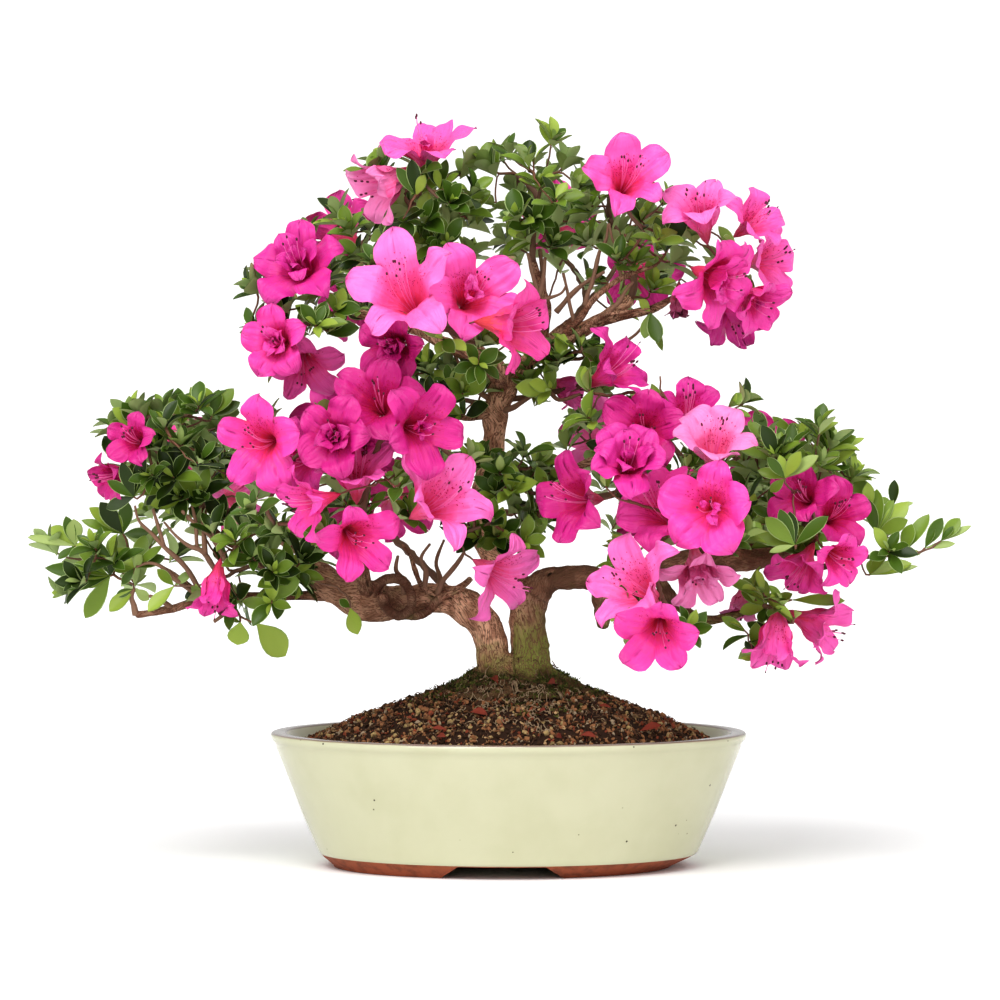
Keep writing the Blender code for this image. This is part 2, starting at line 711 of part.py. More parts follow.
def apart(point, mass):
    """How far out in a mass a point lies: 1 on its surface."""
    _, _, _, centre, sizes, _ = mass
    away = point - seen(*centre)
    return math.sqrt(sum((away[i] / (sizes[i] * MM)) ** 2 for i in range(3)))


def in_own_space(point, mass, beyond=0.0):
    """Whether a point lies in a mass, or no more than this beyond it, and not in another."""
    own = apart(point, mass)
    if own > 1 + beyond / (min(mass[4]) * MM):
        return False
    return all(apart(point, other) > min(own, 1) for other in MASSES if other is not mass)


class Tip:
    """A whorl of leaves or a bloom: its hub, its axis, its lobes, and its neck behind the hub."""

    def __init__(self, hub, axis, lobes, front, back):
        self.hub = hub
        self.axis = axis
        self.lobes = lobes
        self.front = front
        self.neck = hub - axis * back

    def on(self, path, radii):
        return sprig([*path, self.neck, self.hub], [*radii, TWIG_RADIUS], self.axis, self.lobes,
                     self.front)

    def alone(self):
        """The tip on a short twig, to test its place."""
        return self.on([self.neck - self.axis * 3 * MM], [TWIG_RADIUS])


def whorl_tips(mass, root, garden, rng):
    """Places for a mass's whorls, even through its space and clear of the rest."""
    name, _, _, centre, sizes, wanted = mass
    middle = seen(*centre)
    found = []
    for index in range(1, 80 * wanted):
        if len(found) == wanted:
            break
        height = 2 * halton(index, 2) - 1
        around = math.tau * halton(index, 3)
        flat = math.sqrt(1 - height * height)
        way = Vector((flat * math.cos(around), flat * math.sin(around), height))
        share = 0.4 + 0.36 * halton(index, 5)
        hub = middle + Vector(way[i] * sizes[i] * MM * share for i in range(3))
        out = Vector(way[i] / sizes[i] for i in range(3)).normalized()
        axis = out * 0.6 + (hub - root).normalized() * 0.6 + Vector((0, 0, 0.5))
        axis = (axis + Vector(rng.uniform(-0.2, 0.2) for _ in range(3))).normalized()
        tip = Tip(hub, axis, whorl(rng), LEAF_THICK * 0.4, LEAF_THICK * 0.6)
        shape = tip.alone()
        if in_sky(hub) or not in_own_space(hub, mass) or axis.dot(hub - root) < 0:
            continue
        if any(in_sky(p) or not in_own_space(p, mass, LEAF_BEYOND) for p in shape[0]):
            continue
        if crosses_itself(shape) or garden.touched(None, shape):
            continue
        garden.place(name, shape)
        found.append(tip)
    return found


def make_twigs(mass, tips, paths, garden):
    """Each tip grows from the nearest place on the twigs so far, the furthest tips first.

    A place counts as nearer where the new twig goes on in the old one's direction. A tip with
    another node in its every way is left out.
    """
    name, limb, along, centre, _, _ = mass
    path = paths[limb]
    if along == 1:
        way = (path[-1][0] - path[-2][0]).normalized()
        start, radius = path[-1][0] + way * GAP, path[-1][1]
    else:
        start, radius = path[round(along * (len(path) - 1))]
        way = (seen(*centre) - start).normalized()
    thick = min(max(TWIG_RADIUS * 2.2, radius * 0.9), 2.8 * MM)
    knee = start + way * (8 * MM if along == 1 else radius + 8 * MM)
    tips = sorted(tips, key=lambda tip: -(tip.hub - knee).length)
    joints = []
    shapes = []
    for tip in tips:
        if not shapes:
            run = [start, knee, bent(knee, way, tip)]
            radii = [thick, thick * 0.9, TWIG_RADIUS * 1.6]
            shape = tip.on(run, radii)
            if crosses_itself(shape):
                continue
            shapes.append(shape)
            garden.place(name, shape)
            add_joints(joints, run + [tip.neck], radii + [TWIG_RADIUS])
            continue
        choices = []
        for place, direction, size in joints:
            gone = tip.neck - place
            if gone.length < 5 * MM:
                continue
            turn = 1 - gone.normalized().dot(direction)
            bend = 1 - gone.normalized().dot(tip.axis)
            choices.append((gone.length * (1 + 0.35 * turn + 0.3 * bend), place, direction, size))
        choices.sort(key=lambda choice: choice[0])
        for _, place, direction, size in choices[:40]:
            run, radii = [place], [min(size * 0.5, TWIG_RADIUS)]
            gone = tip.neck - place
            if gone.length > STRAIGHT or gone.dot(tip.axis) < 0.2 * gone.length:
                run.append(bent(place, direction, tip))
                radii.append(TWIG_RADIUS * 1.1)
            shape = tip.on(run, radii)
            if crosses_itself(shape) or garden.touched(name, shape):
                continue
            shapes.append(shape)
            garden.place(name, shape)
            joints[:] = [j for j in joints if (j[0] - place).length > 2.5 * MM]
            add_joints(joints, run + [tip.neck], radii + [TWIG_RADIUS])
            break
    return shapes


def bent(place, direction, tip):
    """A point half way along a twig, for a curve that ends in the tip's own direction."""
    gone = tip.neck - place
    middle = place.lerp(tip.neck, 0.55) + (direction * 0.1 - tip.axis * 0.12) * gone.length
    rest = tip.neck - middle
    if rest.dot(tip.axis) < 0.4 * rest.length:
        middle = tip.neck - (tip.axis + gone.normalized() * 0.7) * min(0.3 * gone.length, 9 * MM)
    return middle


def add_joints(joints, run, radii):
    """Places along a twig that others may grow from."""
    for i in range(len(run) - 1):
        direction = (run[i + 1] - run[i]).normalized()
        steps = max(1, round((run[i + 1] - run[i]).length / (6 * MM)))
        for step in range(steps):
            t = (step + 0.6) / steps
            size = radii[i] + (radii[i + 1] - radii[i]) * t
            joints.append((run[i].lerp(run[i + 1], t), direction, size))


def make_mass(mass, blooms, paths, guards, garden):
    """One node of twigs, leaves and blossom, fused from its pieces."""
    name, limb, along, _, _, _ = mass
    rng = random.Random(name)
    root = paths[limb][-1][0] if along == 1 else paths[limb][round(along * (len(paths[limb]) - 1))][0]
    tips = whorl_tips(mass, root, garden, rng) + blooms
    garden.pieces = [piece for piece in garden.pieces if piece[0] != name]
    shapes = make_twigs(mass, tips, paths, garden)
    joined = add_object(name, *shapes[0])
    if along < 1:
        cutter = add_object("cutter", *guards[limb])
        boolean(joined, cutter, "DIFFERENCE")
        apply_modifiers(joined)
        remove(cutter)
        keep_largest(joined)
    parts = bpy.data.collections.new(name + "_parts")
    bpy.context.scene.collection.children.link(parts)
    for shape in shapes[1:]:
        add_object("piece", *shape, parts)
    boolean(joined, parts, "UNION")
    apply_modifiers(joined)
    for piece in list(parts.objects):
        remove(piece)
    bpy.data.collections.remove(parts)
    keep_largest(joined)
    finish(joined, PINK if "flowers" in name else LEAF_GREEN, 0.55)


def place_blooms(garden):
    """Every bloom before any leaf, each where the photograph shows it and clear of the rest."""
    made = {}
    for owner, column, row, depth, turn, tilt, radius in BLOOMS:
        radius *= MM
        for shift in BLOOM_SHIFTS:
            throat = seen(column, row, depth + shift / MM)
            tip = Tip(throat, facing(turn, tilt), petals(radius), -0.06 * radius, 0.78 * radius)
            shape = tip.alone()
            if garden.touched(None, shape) is None:
                garden.place(owner, shape)
                made.setdefault(owner, []).append(tip)
                break
    return made


def main():
    for old in list(bpy.data.objects):
        bpy.data.objects.remove(old)
    make_pot()
    make_soil()
    paths, guards = {}, {}
    make_trunk_base(paths, guards)
    for name, parents, sides, stations in LIMBS:
        make_limb(name, parents, sides, stations, paths, guards)
    garden = Garden(guards)
    blooms = place_blooms(garden)
    for mass in MASSES:
        make_mass(mass, blooms.get(mass[0], []), paths, guards, garden)


main()
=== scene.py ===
"""Looks of a japanese azalea in flower, trained as a bonsai in a glazed oval pot.

Metres, +Z up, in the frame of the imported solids. The photograph is taken from -Y.
Places on the plant are given as the photograph shows them: a column and a row in its
pixels, and a depth in millimetres behind (+) or before (-) the plane of the trunk.
"""

import math
import random

import bmesh
import bpy
import numpy as np
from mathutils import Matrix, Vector
from mathutils.bvhtree import BVHTree
from mathutils.kdtree import KDTree


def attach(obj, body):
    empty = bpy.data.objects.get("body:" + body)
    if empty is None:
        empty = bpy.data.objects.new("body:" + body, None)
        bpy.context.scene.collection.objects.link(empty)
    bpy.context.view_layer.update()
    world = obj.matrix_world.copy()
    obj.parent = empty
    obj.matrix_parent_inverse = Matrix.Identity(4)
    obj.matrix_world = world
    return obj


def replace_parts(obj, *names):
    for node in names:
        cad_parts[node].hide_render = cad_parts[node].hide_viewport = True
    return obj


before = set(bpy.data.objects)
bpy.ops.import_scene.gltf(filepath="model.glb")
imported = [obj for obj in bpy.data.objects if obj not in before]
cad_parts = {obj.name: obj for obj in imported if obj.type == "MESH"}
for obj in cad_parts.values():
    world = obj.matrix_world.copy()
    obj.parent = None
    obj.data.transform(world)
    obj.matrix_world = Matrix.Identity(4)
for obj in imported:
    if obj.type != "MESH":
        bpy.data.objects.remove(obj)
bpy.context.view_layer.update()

MM = 0.001
SEED = 7
UP = np.array((0.0, 0.0, 1.0))
GOLDEN_TURN = 2.39996

# The view that the places are read from
PHOTO_SIDE = 1000
PIXEL = 0.6 * MM
CENTRE_COLUMN = 500
CENTRE_ROW = 500
GROUND_ROW = 867
VIEWER = np.array((0.0, -3.2, 0.35))
SENSOR = 36

# Noise: the numbers of its hash, how far apart its seeds lie, and its size on a tube
NOISE_PRIMES = (73856093, 19349663, 83492791)
NOISE_FACTOR = 1274126177
NOISE_MASK = 0x7FFFFFFF
NOISE_VALUES = 100003
NOISE_STRIDE = 31.7
TUBE_LUMP = 5 * MM

# Pot: its middle, its depth for its length, the foot's shift to the left, the drain holes, and
# from what angle an edge is sharp
POT_X = 5.1 * MM
POT_SIDES = 144
POT_DEPTH = 0.72
POT_HEIGHT = 81 * MM
GLAZE_FROM = 8.2 * MM
FOOT_SHIFT = -4 * MM
DRAIN_RADIUS = 8 * MM
DRAIN_X = 48 * MM
DRAIN_ENDS = (-5 * MM, 20 * MM)
POT_EDGE = math.radians(38)
# Half length to the inside of the wall, which is 6.5 mm thick in front, and the pot's outline from
# the foot up the wall, over the rim and down inside: half lengths and heights, all in mm
POT_INSIDE = 143 - 6.5 / POT_DEPTH
POT_PROFILE = (
    (100, 0), (101.4, 0.4), (102, 1.2), (110.9, 6.6), (112, 7.4), (113.3, 8.2), (114.1, 8.9), (114.8, 10.6),
    (117.225, 16.2), (119.65, 21.8), (122.075, 27.4), (124.5, 33), (139.9, 71.9), (140.4, 74.3),
    (141.6, 75.9), (142.6, 77.1), (143, 78.75), (142.8, 79.9), (142.2, 80.7), (141.4, 81),
    (POT_INSIDE + 0.8, 81), (POT_INSIDE, 80.5), (POT_INSIDE - 2, 77), (114.5, 23), (108.5, 15),
)
# The hollow under the foot, and the corners of the opening in front, in mm
FOOT_HOLLOW = ((86, -5), (87, 8.2))
FOOT_NOTCH = ((-42.78, -5), (42.78, -5), (26, 7.6), (-26, 7.6))

# Soil: half lengths and heights of the mound, from the wall to the trunk's foot
SOIL_RINGS = ((132, 70), (124, 74), (112, 79.5), (93, 88), (71, 96.5), (56, 101.5), (44, 104.5), (0, 106))
SOIL_TOP = 103.6 * MM
SOIL_BED = (0.035, 0.018, 0.011)
BED_RINGS = 46
BED_SIDES = 160
GRAIN_KINDS = (
    # name, colour, how many, smallest and largest radius in mm, how flat, and from what share of
    # the way out to the rim they lie
    ("dark", (0.046, 0.022, 0.010), 1900, 0.7, 2.4, 0.55, 0.0),
    ("brown", (0.270, 0.128, 0.058), 2700, 0.6, 2.3, 0.40, 0.0),
    ("red", (0.250, 0.065, 0.032), 1000, 0.6, 2.2, 0.25, 0.0),
    ("straw", (0.420, 0.275, 0.140), 1300, 0.5, 1.9, 0.20, 0.0),
    ("tan", (0.370, 0.265, 0.120), 190, 0.9, 2.4, 0.75, 0.50),
    ("grey", (0.350, 0.270, 0.180), 480, 0.6, 2.1, 0.50, 0.0),
)
# The tan grains that lie together: their share, and their place round the pot
TAN_TOGETHER = 0.6
TAN_TURN = -2.1
TAN_SPREAD = 0.5
# Moss: tufts, blades in each, how high it grows, how far out in mm, and how far it is full
MOSS_TUFTS = 1500
MOSS_BLADES = 12
MOSS_TOP = 117 * MM
MOSS_FROM = 14
MOSS_OVER = 56
MOSS_FULL = 34 * MM
# Fine roots: how many, their place round the trunks, and how far out they lie in mm
FINE_ROOTS = 150
ROOTS_TURN = -1.55
ROOTS_SPREAD = 0.45
ROOTS_OUT = (30, 84)
FIBRES = 900
# Crumbs on the root flare: how many, how far out they lie, their radii in mm, and how high
FLARE_CRUMBS = 900
CRUMBS_OUT = (20, 62)
CRUMB_RADII = (0.6, 1.9)
CRUMBS_TOP = 116 * MM
# How deep the litter round the trunks lies for its width, and the height from which it falls
LITTER_DEPTH = 0.82
LITTER_FROM = 124 * MM
# Fallen leaves: column, row and depth
FALLEN_LEAVES = (
    (447, 733, -66), (437, 738, -70), (538, 727, -56), (498, 691, -32), (400, 686, -20), (562, 735, -76),
    (580, 734, -70), (612, 702, -30), (640, 732, -50), (556, 683, -22), (470, 712, -52), (528, 734, -74),
)

# Root flare round the two trunks: half length and height, then the surface roots' distance out,
# height and radius, all in mm
FLARE_X = 9 * MM
FLARE_RINGS = ((47, 0), (37, 4.5), (28, 9.5), (22, 16), (17, 22))
FLARE_SIDES = 48
FLARE_DEPTH = 0.8
FLARE_ROOTS = 6
FLARE_WAVE = 0.16
ROOT_RIDGES = 11
ROOT_STATIONS = ((8, 21, 5.6), (17, 15, 5.2), (26, 9.5, 4.6), (34, 5, 3.9), (42, 1.5, 3.1), (49, -2.5, 2.2))
FEET = {
    "left_foot": ((502, 688, 0, 9), (494, 668, -2, 10.4), (492, 648, -3, 9.7)),
    "right_foot": ((528, 688, 0, 11), (530, 668, 0, 12.8), (530, 648, 0, 11.5)),
}

# Bark: fineness and relief of the two skins, then where the trunks are shaded, green and wet
BARK_VOXEL = 0.92 * MM
BARK_RELIEF = 0.60 * MM
BARK_SAMPLE = 0.4 * MM
BOUGH_VOXEL = 0.95 * MM
BOUGH_RELIEF = 0.30 * MM
FIBRE_STRETCH = 0.22
ARCH_TOP = 200 * MM
ALGAE_FROM = 113 * MM
ALGAE_TOPS = (142 * MM, 162 * MM)
ALGAE_FADE = 34 * MM
WET_TOP = 123 * MM

# Limbs: name, the limb whose tip it goes on from or None, whether it is thick,
# then column, row, depth and radius in mm
LIMBS = (
    ("left_trunk", "left_foot", True, ((487, 630, -3, 10), (474, 613, -3, 10.3), (458, 602, -3, 9.2),
        (442, 598, -3, 8.4))),
    ("left_bough", "left_trunk", True, ((405, 600, 0, 8.8), (386, 604, 0, 11), (363, 599, 0, 12.5),
        (338, 590, 0, 9.5), (308, 573, -2, 7), (288, 562, -5, 4.6))),
    ("left_low_bough", None, False, ((345, 596, 0, 3.6), (296, 596, -3, 3.2), (255, 597, -5, 3.0),
        (204, 599, -6, 2.7), (172, 609, -6, 2.5), (136, 615, -6, 2.3))),
    ("left_tip_bough", None, False, ((204, 599, -6, 2.2), (180, 579, -2, 2.0), (160, 566, 0, 1.8),
        (148, 559, 0, 1.6))),
    ("left_pad_bough", None, False, ((300, 569, -2, 3.6), (262, 556, 6, 3.2), (225, 540, 4, 2.8),
        (207, 522, -2, 2.4), (203, 508, -4, 2.2))),
    ("left_front_bough", None, False, ((368, 597, 0, 5), (362, 570, -38, 4.2), (358, 552, -60, 3.4))),
    ("left_back_bough", None, False, ((350, 594, 2, 5), (316, 562, 44, 4), (272, 534, 74, 3))),
    ("right_trunk", "right_foot", True, ((527, 623, 0, 11), (529, 606, 0, 10.6), (534, 594, 0, 9.8))),
    ("right_arch", "right_trunk", True, ((545, 583, -1, 8.4), (562, 578, -2, 7.4), (585, 577, -4, 7.3),
        (602, 580, -5, 6.8))),
    ("right_bough", "right_arch", True, ((640, 572, -4, 6.4), (680, 563, -2, 6.6), (715, 557, 0, 8),
        (745, 556, 0, 9.2), (768, 556, 0, 7.6), (783, 555, 0, 5.5))),
    ("right_stub", None, True, ((600, 583, -5, 4.8), (601, 600, -4, 5.2), (602, 614, -3, 4.6),
        (603, 627, -3, 3))),
    ("right_low_bough", None, False, ((652, 571, -4, 4), (674, 600, -6, 3.6), (702, 620, -8, 3.2),
        (735, 615, -14, 2.5), (758, 606, -20, 2.0))),
    ("right_front_bough", None, False, ((645, 571, -4, 4.4), (650, 568, -36, 3.6), (652, 562, -58, 3))),
    ("right_tip_bough", None, False, ((768, 557, 0, 3), (803, 569, 8, 2.4), (842, 563, 6, 2.0),
        (857, 559, 4, 1.8))),
    ("right_back_bough", None, False, ((700, 558, 0, 4.6), (728, 536, 40, 3.6), (748, 516, 60, 3))),
    ("main_trunk_lower", None, True, ((527, 600, 2, 9), (508, 574, 6, 8.3), (490, 548, 8, 8),
        (481, 520, 9, 7.7), (483, 492, 9, 7.2))),
    ("main_trunk_upper", "main_trunk_lower", True, ((491, 462, 8, 6.8), (494, 436, 7, 6.8),
        (496, 412, 6, 7.2), (504, 388, 5, 8), (509, 370, 4, 6.4))),
    ("mid_right_bough", None, False, ((482, 508, 9, 3.8), (514, 486, 2, 3.3), (541, 479, -10, 2.9),
        (580, 466, -20, 2.6), (604, 455, -26, 2.4))),
    ("crown_left_bough", None, True, ((505, 380, 5, 5.6), (492, 361, 0, 5.2), (470, 353, -6, 4.6),
        (445, 344, -12, 4), (418, 330, -16, 3.4), (380, 319, -18, 2.8), (354, 312, -20, 2.4))),
    ("crown_right_bough", None, True, ((508, 382, 5, 5.8), (528, 362, 2, 5.4), (548, 348, 0, 5),
        (585, 328, 0, 4.6), (610, 314, 0, 4), (630, 299, 0, 3.2))),
    ("crown_far_bough", None, False, ((592, 324, 0, 3.6), (622, 316, -8, 3), (652, 309, -12, 2.6),
        (672, 298, -14, 2.2))),
    ("crown_front_bough", None, False, ((503, 392, 5, 4.8), (488, 362, -32, 4), (474, 344, -54, 3.4))),
    ("crown_top_left_bough", None, False, ((472, 353, -6, 3.8), (470, 312, -4, 3.2), (458, 275, -6, 2.8),
        (449, 252, -8, 2.4))),
    ("crown_top_bough", None, False, ((537, 355, 1, 4.2), (546, 312, 2, 3.4), (537, 280, 0, 3),
        (533, 262, 0, 2.6))),
    ("back_crown_left_bough", None, False, ((500, 400, 5, 4.4), (474, 356, 42, 3.8), (452, 330, 60, 3))),
    ("back_crown_right_bough", None, False, ((505, 390, 5, 4.4), (546, 345, 44, 3.8), (570, 322, 60, 3))),
)

# Small bare shoots that the photograph shows on the trunks and boughs. The ones whose foot is
# thicker than this, in mm, get the boughs' bark
KNOTTY = 2.3
SHOOTS = (
    ((372, 592, -9, 4.0), (383, 581, -17, 3.6), (399, 579, -21, 3.2), (410, 590, -22, 3.0),
     (411, 607, -21, 3.0), (400, 616, -20, 3.2), (387, 609, -19, 3.4), (381, 595, -18, 3.5)),
    ((402, 615, -20, 3.2), (416, 616, -17, 3.1), (428, 611, -14, 3.2), (437, 601, -13, 2.8),
     (452, 592, -13, 2.4), (465, 584, -13, 2.1), (471, 578, -13, 1.7)),
    ((438, 602, -12, 2.5), (428, 592, -12, 2.1), (420, 583, -12, 1.9), (415, 570, -13, 1.6),
     (410, 556, -14, 1.2), (402, 544, -15, 0.9)),
    ((424, 589, -12, 1.8), (426, 572, -12, 1.5), (421, 558, -12, 1.2), (430, 544, -12, 0.9)),
    ((437, 598, -11, 2.0), (442, 582, -12, 1.8), (452, 570, -13, 1.5), (462, 556, -13, 1.1),
     (467, 543, -13, 0.9)),
    ((404, 594, -13, 1.8), (403, 580, -14, 1.6), (396, 570, -14, 1.4), (398, 556, -15, 1.0)),
    ((432, 598, 2, 1.8), (440, 580, 6, 1.5), (436, 562, 10, 1.2), (444, 540, 12, 0.8)),
    ((200, 592, -10, 1.9), (186, 568, -16, 1.6), (164, 547, -22, 1.4), (153, 535, -22, 1.2),
     (139, 521, -24, 0.9), (135, 506, -28, 0.7)),
    ((201, 597, -8, 1.8), (174, 579, -14, 1.5), (161, 567, -16, 1.2), (148, 563, -14, 1.0),
     (136, 567, -11, 0.8)),
    ((164, 546, -22, 1.3), (159, 529, -24, 1.1), (153, 509, -24, 0.9)),
    ((236, 592, -8, 2.0), (219, 576, -18, 1.8), (204, 553, -24, 1.6), (189, 546, -24, 1.2),
     (176, 536, -24, 0.9), (164, 522, -22, 0.7)),
    ((228, 566, -20, 1.5), (212, 538, -26, 1.4), (194, 523, -26, 1.2), (182, 511, -26, 1.0)),
    ((204, 553, -24, 1.7), (197, 546, -24, 1.3), (196, 524, -24, 1.1), (192, 506, -22, 0.9)),
    ((205, 555, -24, 1.8), (204, 536, -24, 1.5), (202, 516, -22, 1.2)),
    ((502, 411, 2, 2.0), (514, 407, -2, 1.8), (526, 399, -4, 1.6), (545, 389, -5, 1.4), (559, 400, -6, 1.2),
     (580, 394, -8, 1.0)),
    ((492, 414, 2, 2.4), (470, 418, -1, 2.0), (449, 415, -4, 1.4)),
    ((488, 398, 0, 1.8), (475, 389, -4, 1.5), (464, 372, -6, 1.2), (454, 354, -7, 0.9)),
    ((545, 302, 2, 1.8), (543, 278, 4, 1.5), (540, 250, 4, 1.2)),
    ((556, 341, -6, 2.6), (577, 322, -14, 2.3), (594, 299, -18, 2.1), (621, 278, -20, 1.8),
     (640, 271, -20, 1.5), (656, 265, -20, 1.3), (666, 252, -22, 1.1), (674, 234, -24, 0.9)),
    ((552, 352, -6, 2.4), (580, 333, -16, 2.1), (601, 317, -20, 1.9), (616, 313, -21, 1.6),
     (631, 311, -22, 1.3), (650, 309, -22, 0.9)),
    ((585, 306, -16, 1.7), (588, 293, -18, 1.5), (592, 283, -18, 1.4), (595, 270, -18, 1.3),
     (600, 250, -18, 1.1), (606, 240, -18, 0.9), (608, 224, -18, 0.7)),
    ((606, 314, -20, 1.6), (618, 303, -22, 1.4), (626, 290, -22, 1.2), (633, 282, -22, 0.9)),
    ((563, 273, -12, 0.9), (567, 290, -12, 1.1), (570, 306, -12, 1.2), (575, 325, -12, 1.4)),
    ((556, 312, -8, 1.9), (572, 294, -12, 1.7), (582, 285, -14, 1.5), (592, 279, -16, 1.3),
     (604, 272, -18, 1.0)),
    ((621, 277, -20, 1.2), (618, 261, -20, 1.1), (618, 251, -20, 0.9), (612, 239, -19, 0.8),
     (609, 224, -18, 0.7)),
    ((536, 318, -10, 2.0), (538, 296, -12, 1.7), (533, 276, -14, 1.4), (528, 254, -14, 1.1)),
    ((538, 300, -12, 1.6), (543, 280, -14, 1.3), (545, 258, -14, 1.0)),
    ((543, 300, -12, 1.2), (560, 294, -14, 0.9), (566, 286, -14, 0.7)),
    ((618, 346, -8, 1.1), (636, 334, -12, 0.9), (646, 320, -16, 0.7), (650, 312, -18, 0.6)),
    ((136, 615, -6, 2.2), (134, 606, -7, 1.9), (131, 597, -8, 1.4), (134, 589, -8, 0.9)),
    ((172, 609, -6, 2.0), (160, 600, -9, 1.6), (149, 596, -10, 1.1)),
    ((232, 598, -6, 2.0), (226, 612, -10, 1.5), (214, 622, -12, 1.0)),
    ((700, 556, -8, 3.2), (712, 546, -12, 2.4), (722, 541, -14, 1.6)),
)

# Masses: name, limb, how far along it the stem starts (1 is its tip), centre, half sizes in mm, whorls
MASSES = (
    ("left_tip", "left_tip_bough", 1, (108, 563, 0), (49, 46, 30), 7),
    ("left_pad", "left_pad_bough", 1, (178, 450, -5), (49, 62, 42), 9),
    ("left_under", "left_bough", 1, (248, 562, -30), (50, 46, 36), 7),
    ("left_flowers", "left_front_bough", 1, (352, 470, -95), (86, 46, 58), 5),
    ("centre_spray", "main_trunk_lower", 0.9, (508, 496, -42), (35, 32, 40), 7),
    ("inner_left_spray", "main_trunk_upper", 0.62, (448, 388, -8), (28, 32, 24), 3),
    ("inner_right_spray", "main_trunk_upper", 0.66, (566, 374, -4), (32, 34, 26), 4),
    ("crown_left_flowers", "crown_left_bough", 1, (298, 315, -32), (36, 40, 54), 4),
    ("crown_front_flowers", "crown_front_bough", 1, (446, 306, -92), (68, 40, 50), 3),
    ("crown_top_left", "crown_top_left_bough", 1, (426, 196, -10), (45, 56, 42), 7),
    ("crown_top", "crown_top_bough", 1, (535, 192, 0), (37, 66, 47), 8),
    ("crown_right", "crown_right_bough", 1, (635, 230, 0), (40, 60, 52), 8),
    ("crown_right_flowers", "crown_far_bough", 1, (735, 258, -18), (36, 48, 46), 2),
    ("right_upper_flowers", "mid_right_bough", 1, (662, 408, -55), (62, 44, 42), 3),
    ("right_flowers", "right_front_bough", 1, (655, 548, -98), (68, 42, 70), 4),
    ("right_pad", "right_bough", 1, (796, 486, -12), (44, 58, 54), 9),
    ("right_tip", "right_tip_bough", 1, (906, 532, 0), (40, 42, 31), 6),
    ("right_low", "right_low_bough", 1, (790, 622, -42), (38, 36, 34), 4),
    ("back_left_pad", "left_back_bough", 1, (196, 472, 98), (62, 48, 42), 6),
    ("back_left_inner", "left_trunk", 0.8, (368, 474, 84), (56, 50, 52), 5),
    ("back_crown_left", "back_crown_left_bough", 1, (385, 262, 84), (66, 46, 54), 6),
    ("back_crown_right", "back_crown_right_bough", 1, (590, 250, 86), (66, 46, 56), 6),
    ("back_right_inner", "main_trunk_lower", 0.75, (628, 468, 80), (54, 48, 54), 5),
    ("back_right_pad", "right_back_bough", 1, (782, 484, 92), (56, 48, 46), 6),
)
SHOOTS_PER_WHORL = 4.0
SHOOTS_APART = 10.5 * MM
SHOOT_CLEAR = 6 * MM
SHOOTS_FROM = 0.30
SHOOTS_OVER = 0.58
SPARSE = {
    "crown_top_left": 0.85, "centre_spray": 0.85, "back_crown_right": 0.8, "left_tip": 0.34,
    "right_tip": 0.10, "right_low": 0.5, "left_under": 0.7, "crown_right": 0.62, "left_pad": 0.85,
    "right_pad": 0.85, "crown_top": 0.74,
}
# How far leaves reach beyond their mass, and how far they keep from petals
LEAF_BEYOND = 8 * MM
LEAF_CLEAR = 1.3 * MM

# Windows of sky that the photograph shows between the masses: column, row and half sizes
SKY = (
    (535, 424, 20, 18), (690, 362, 46, 18), (344, 354, 20, 12), (470, 426, 9, 10), (580, 640, 34, 44),
    (160, 655, 60, 14), (470, 655, 40, 20), (598, 262, 9, 14), (825, 612, 24, 5), (590, 530, 12, 12),
    (453, 166, 10, 9), (495, 196, 7, 6), (556, 188, 7, 6), (568, 285, 14, 8), (566, 309, 7, 8),
    (620, 325, 14, 8), (110, 522, 8, 4), (149, 524, 7, 6), (178, 543, 7, 7), (215, 560, 9, 6),
    (166, 585, 9, 7), (116, 573, 5, 5), (196, 560, 6, 5),
)
# Places where bare twigs show, so that no leaf grows before the plane of the trunk there
OPEN = (
    (604, 298, 44, 26), (182, 556, 34, 26), (420, 574, 44, 26), (152, 606, 26, 14), (536, 284, 14, 22),
    (572, 582, 30, 24),
)

# Leaves: sizes, and the colours of their upper sides in linear light
LEAF_LENGTHS = (16 * MM, 23 * MM)
LEAF_WIDTH = 0.43
# At a shoot's end: from how many open leaves, and young ones, to less than how many
LEAF_COUNTS = (6, 10)
YOUNG_COUNTS = (1, 4)
NARROW_LEAVES = ("left_tip", "left_pad", "left_under", "right_pad", "right_tip", "right_low")
LEAF_ROWS = (
    (0, 0.05), (0.08, 0.17), (0.2, 0.44), (0.35, 0.77), (0.5, 0.96), (0.64, 1.0), (0.78, 0.87), (0.89, 0.57),
    (0.96, 0.26), (1, 0.03),
)
LEAF_BACK = 0.28 * MM
LEAF_MARGIN = 1.12
LEAF_SHADES = {
    "deep": (0.023, 0.046, 0.004),
    "dark": (0.063, 0.120, 0.012),
    "mid": (0.172, 0.258, 0.034),
    "fresh": (0.300, 0.400, 0.064),
    "young": (0.330, 0.420, 0.140),
}
OUTER_SHADES = ("deep", "dark", "mid", "fresh")
# Backs of leaves: colour, and the shades that have it
LEAF_BACKS = {
    "pale_back": ((0.390, 0.500, 0.205), ("deep", "dark", "mid")),
    "green_back": ((0.300, 0.410, 0.120), ("fresh", "young")),
}
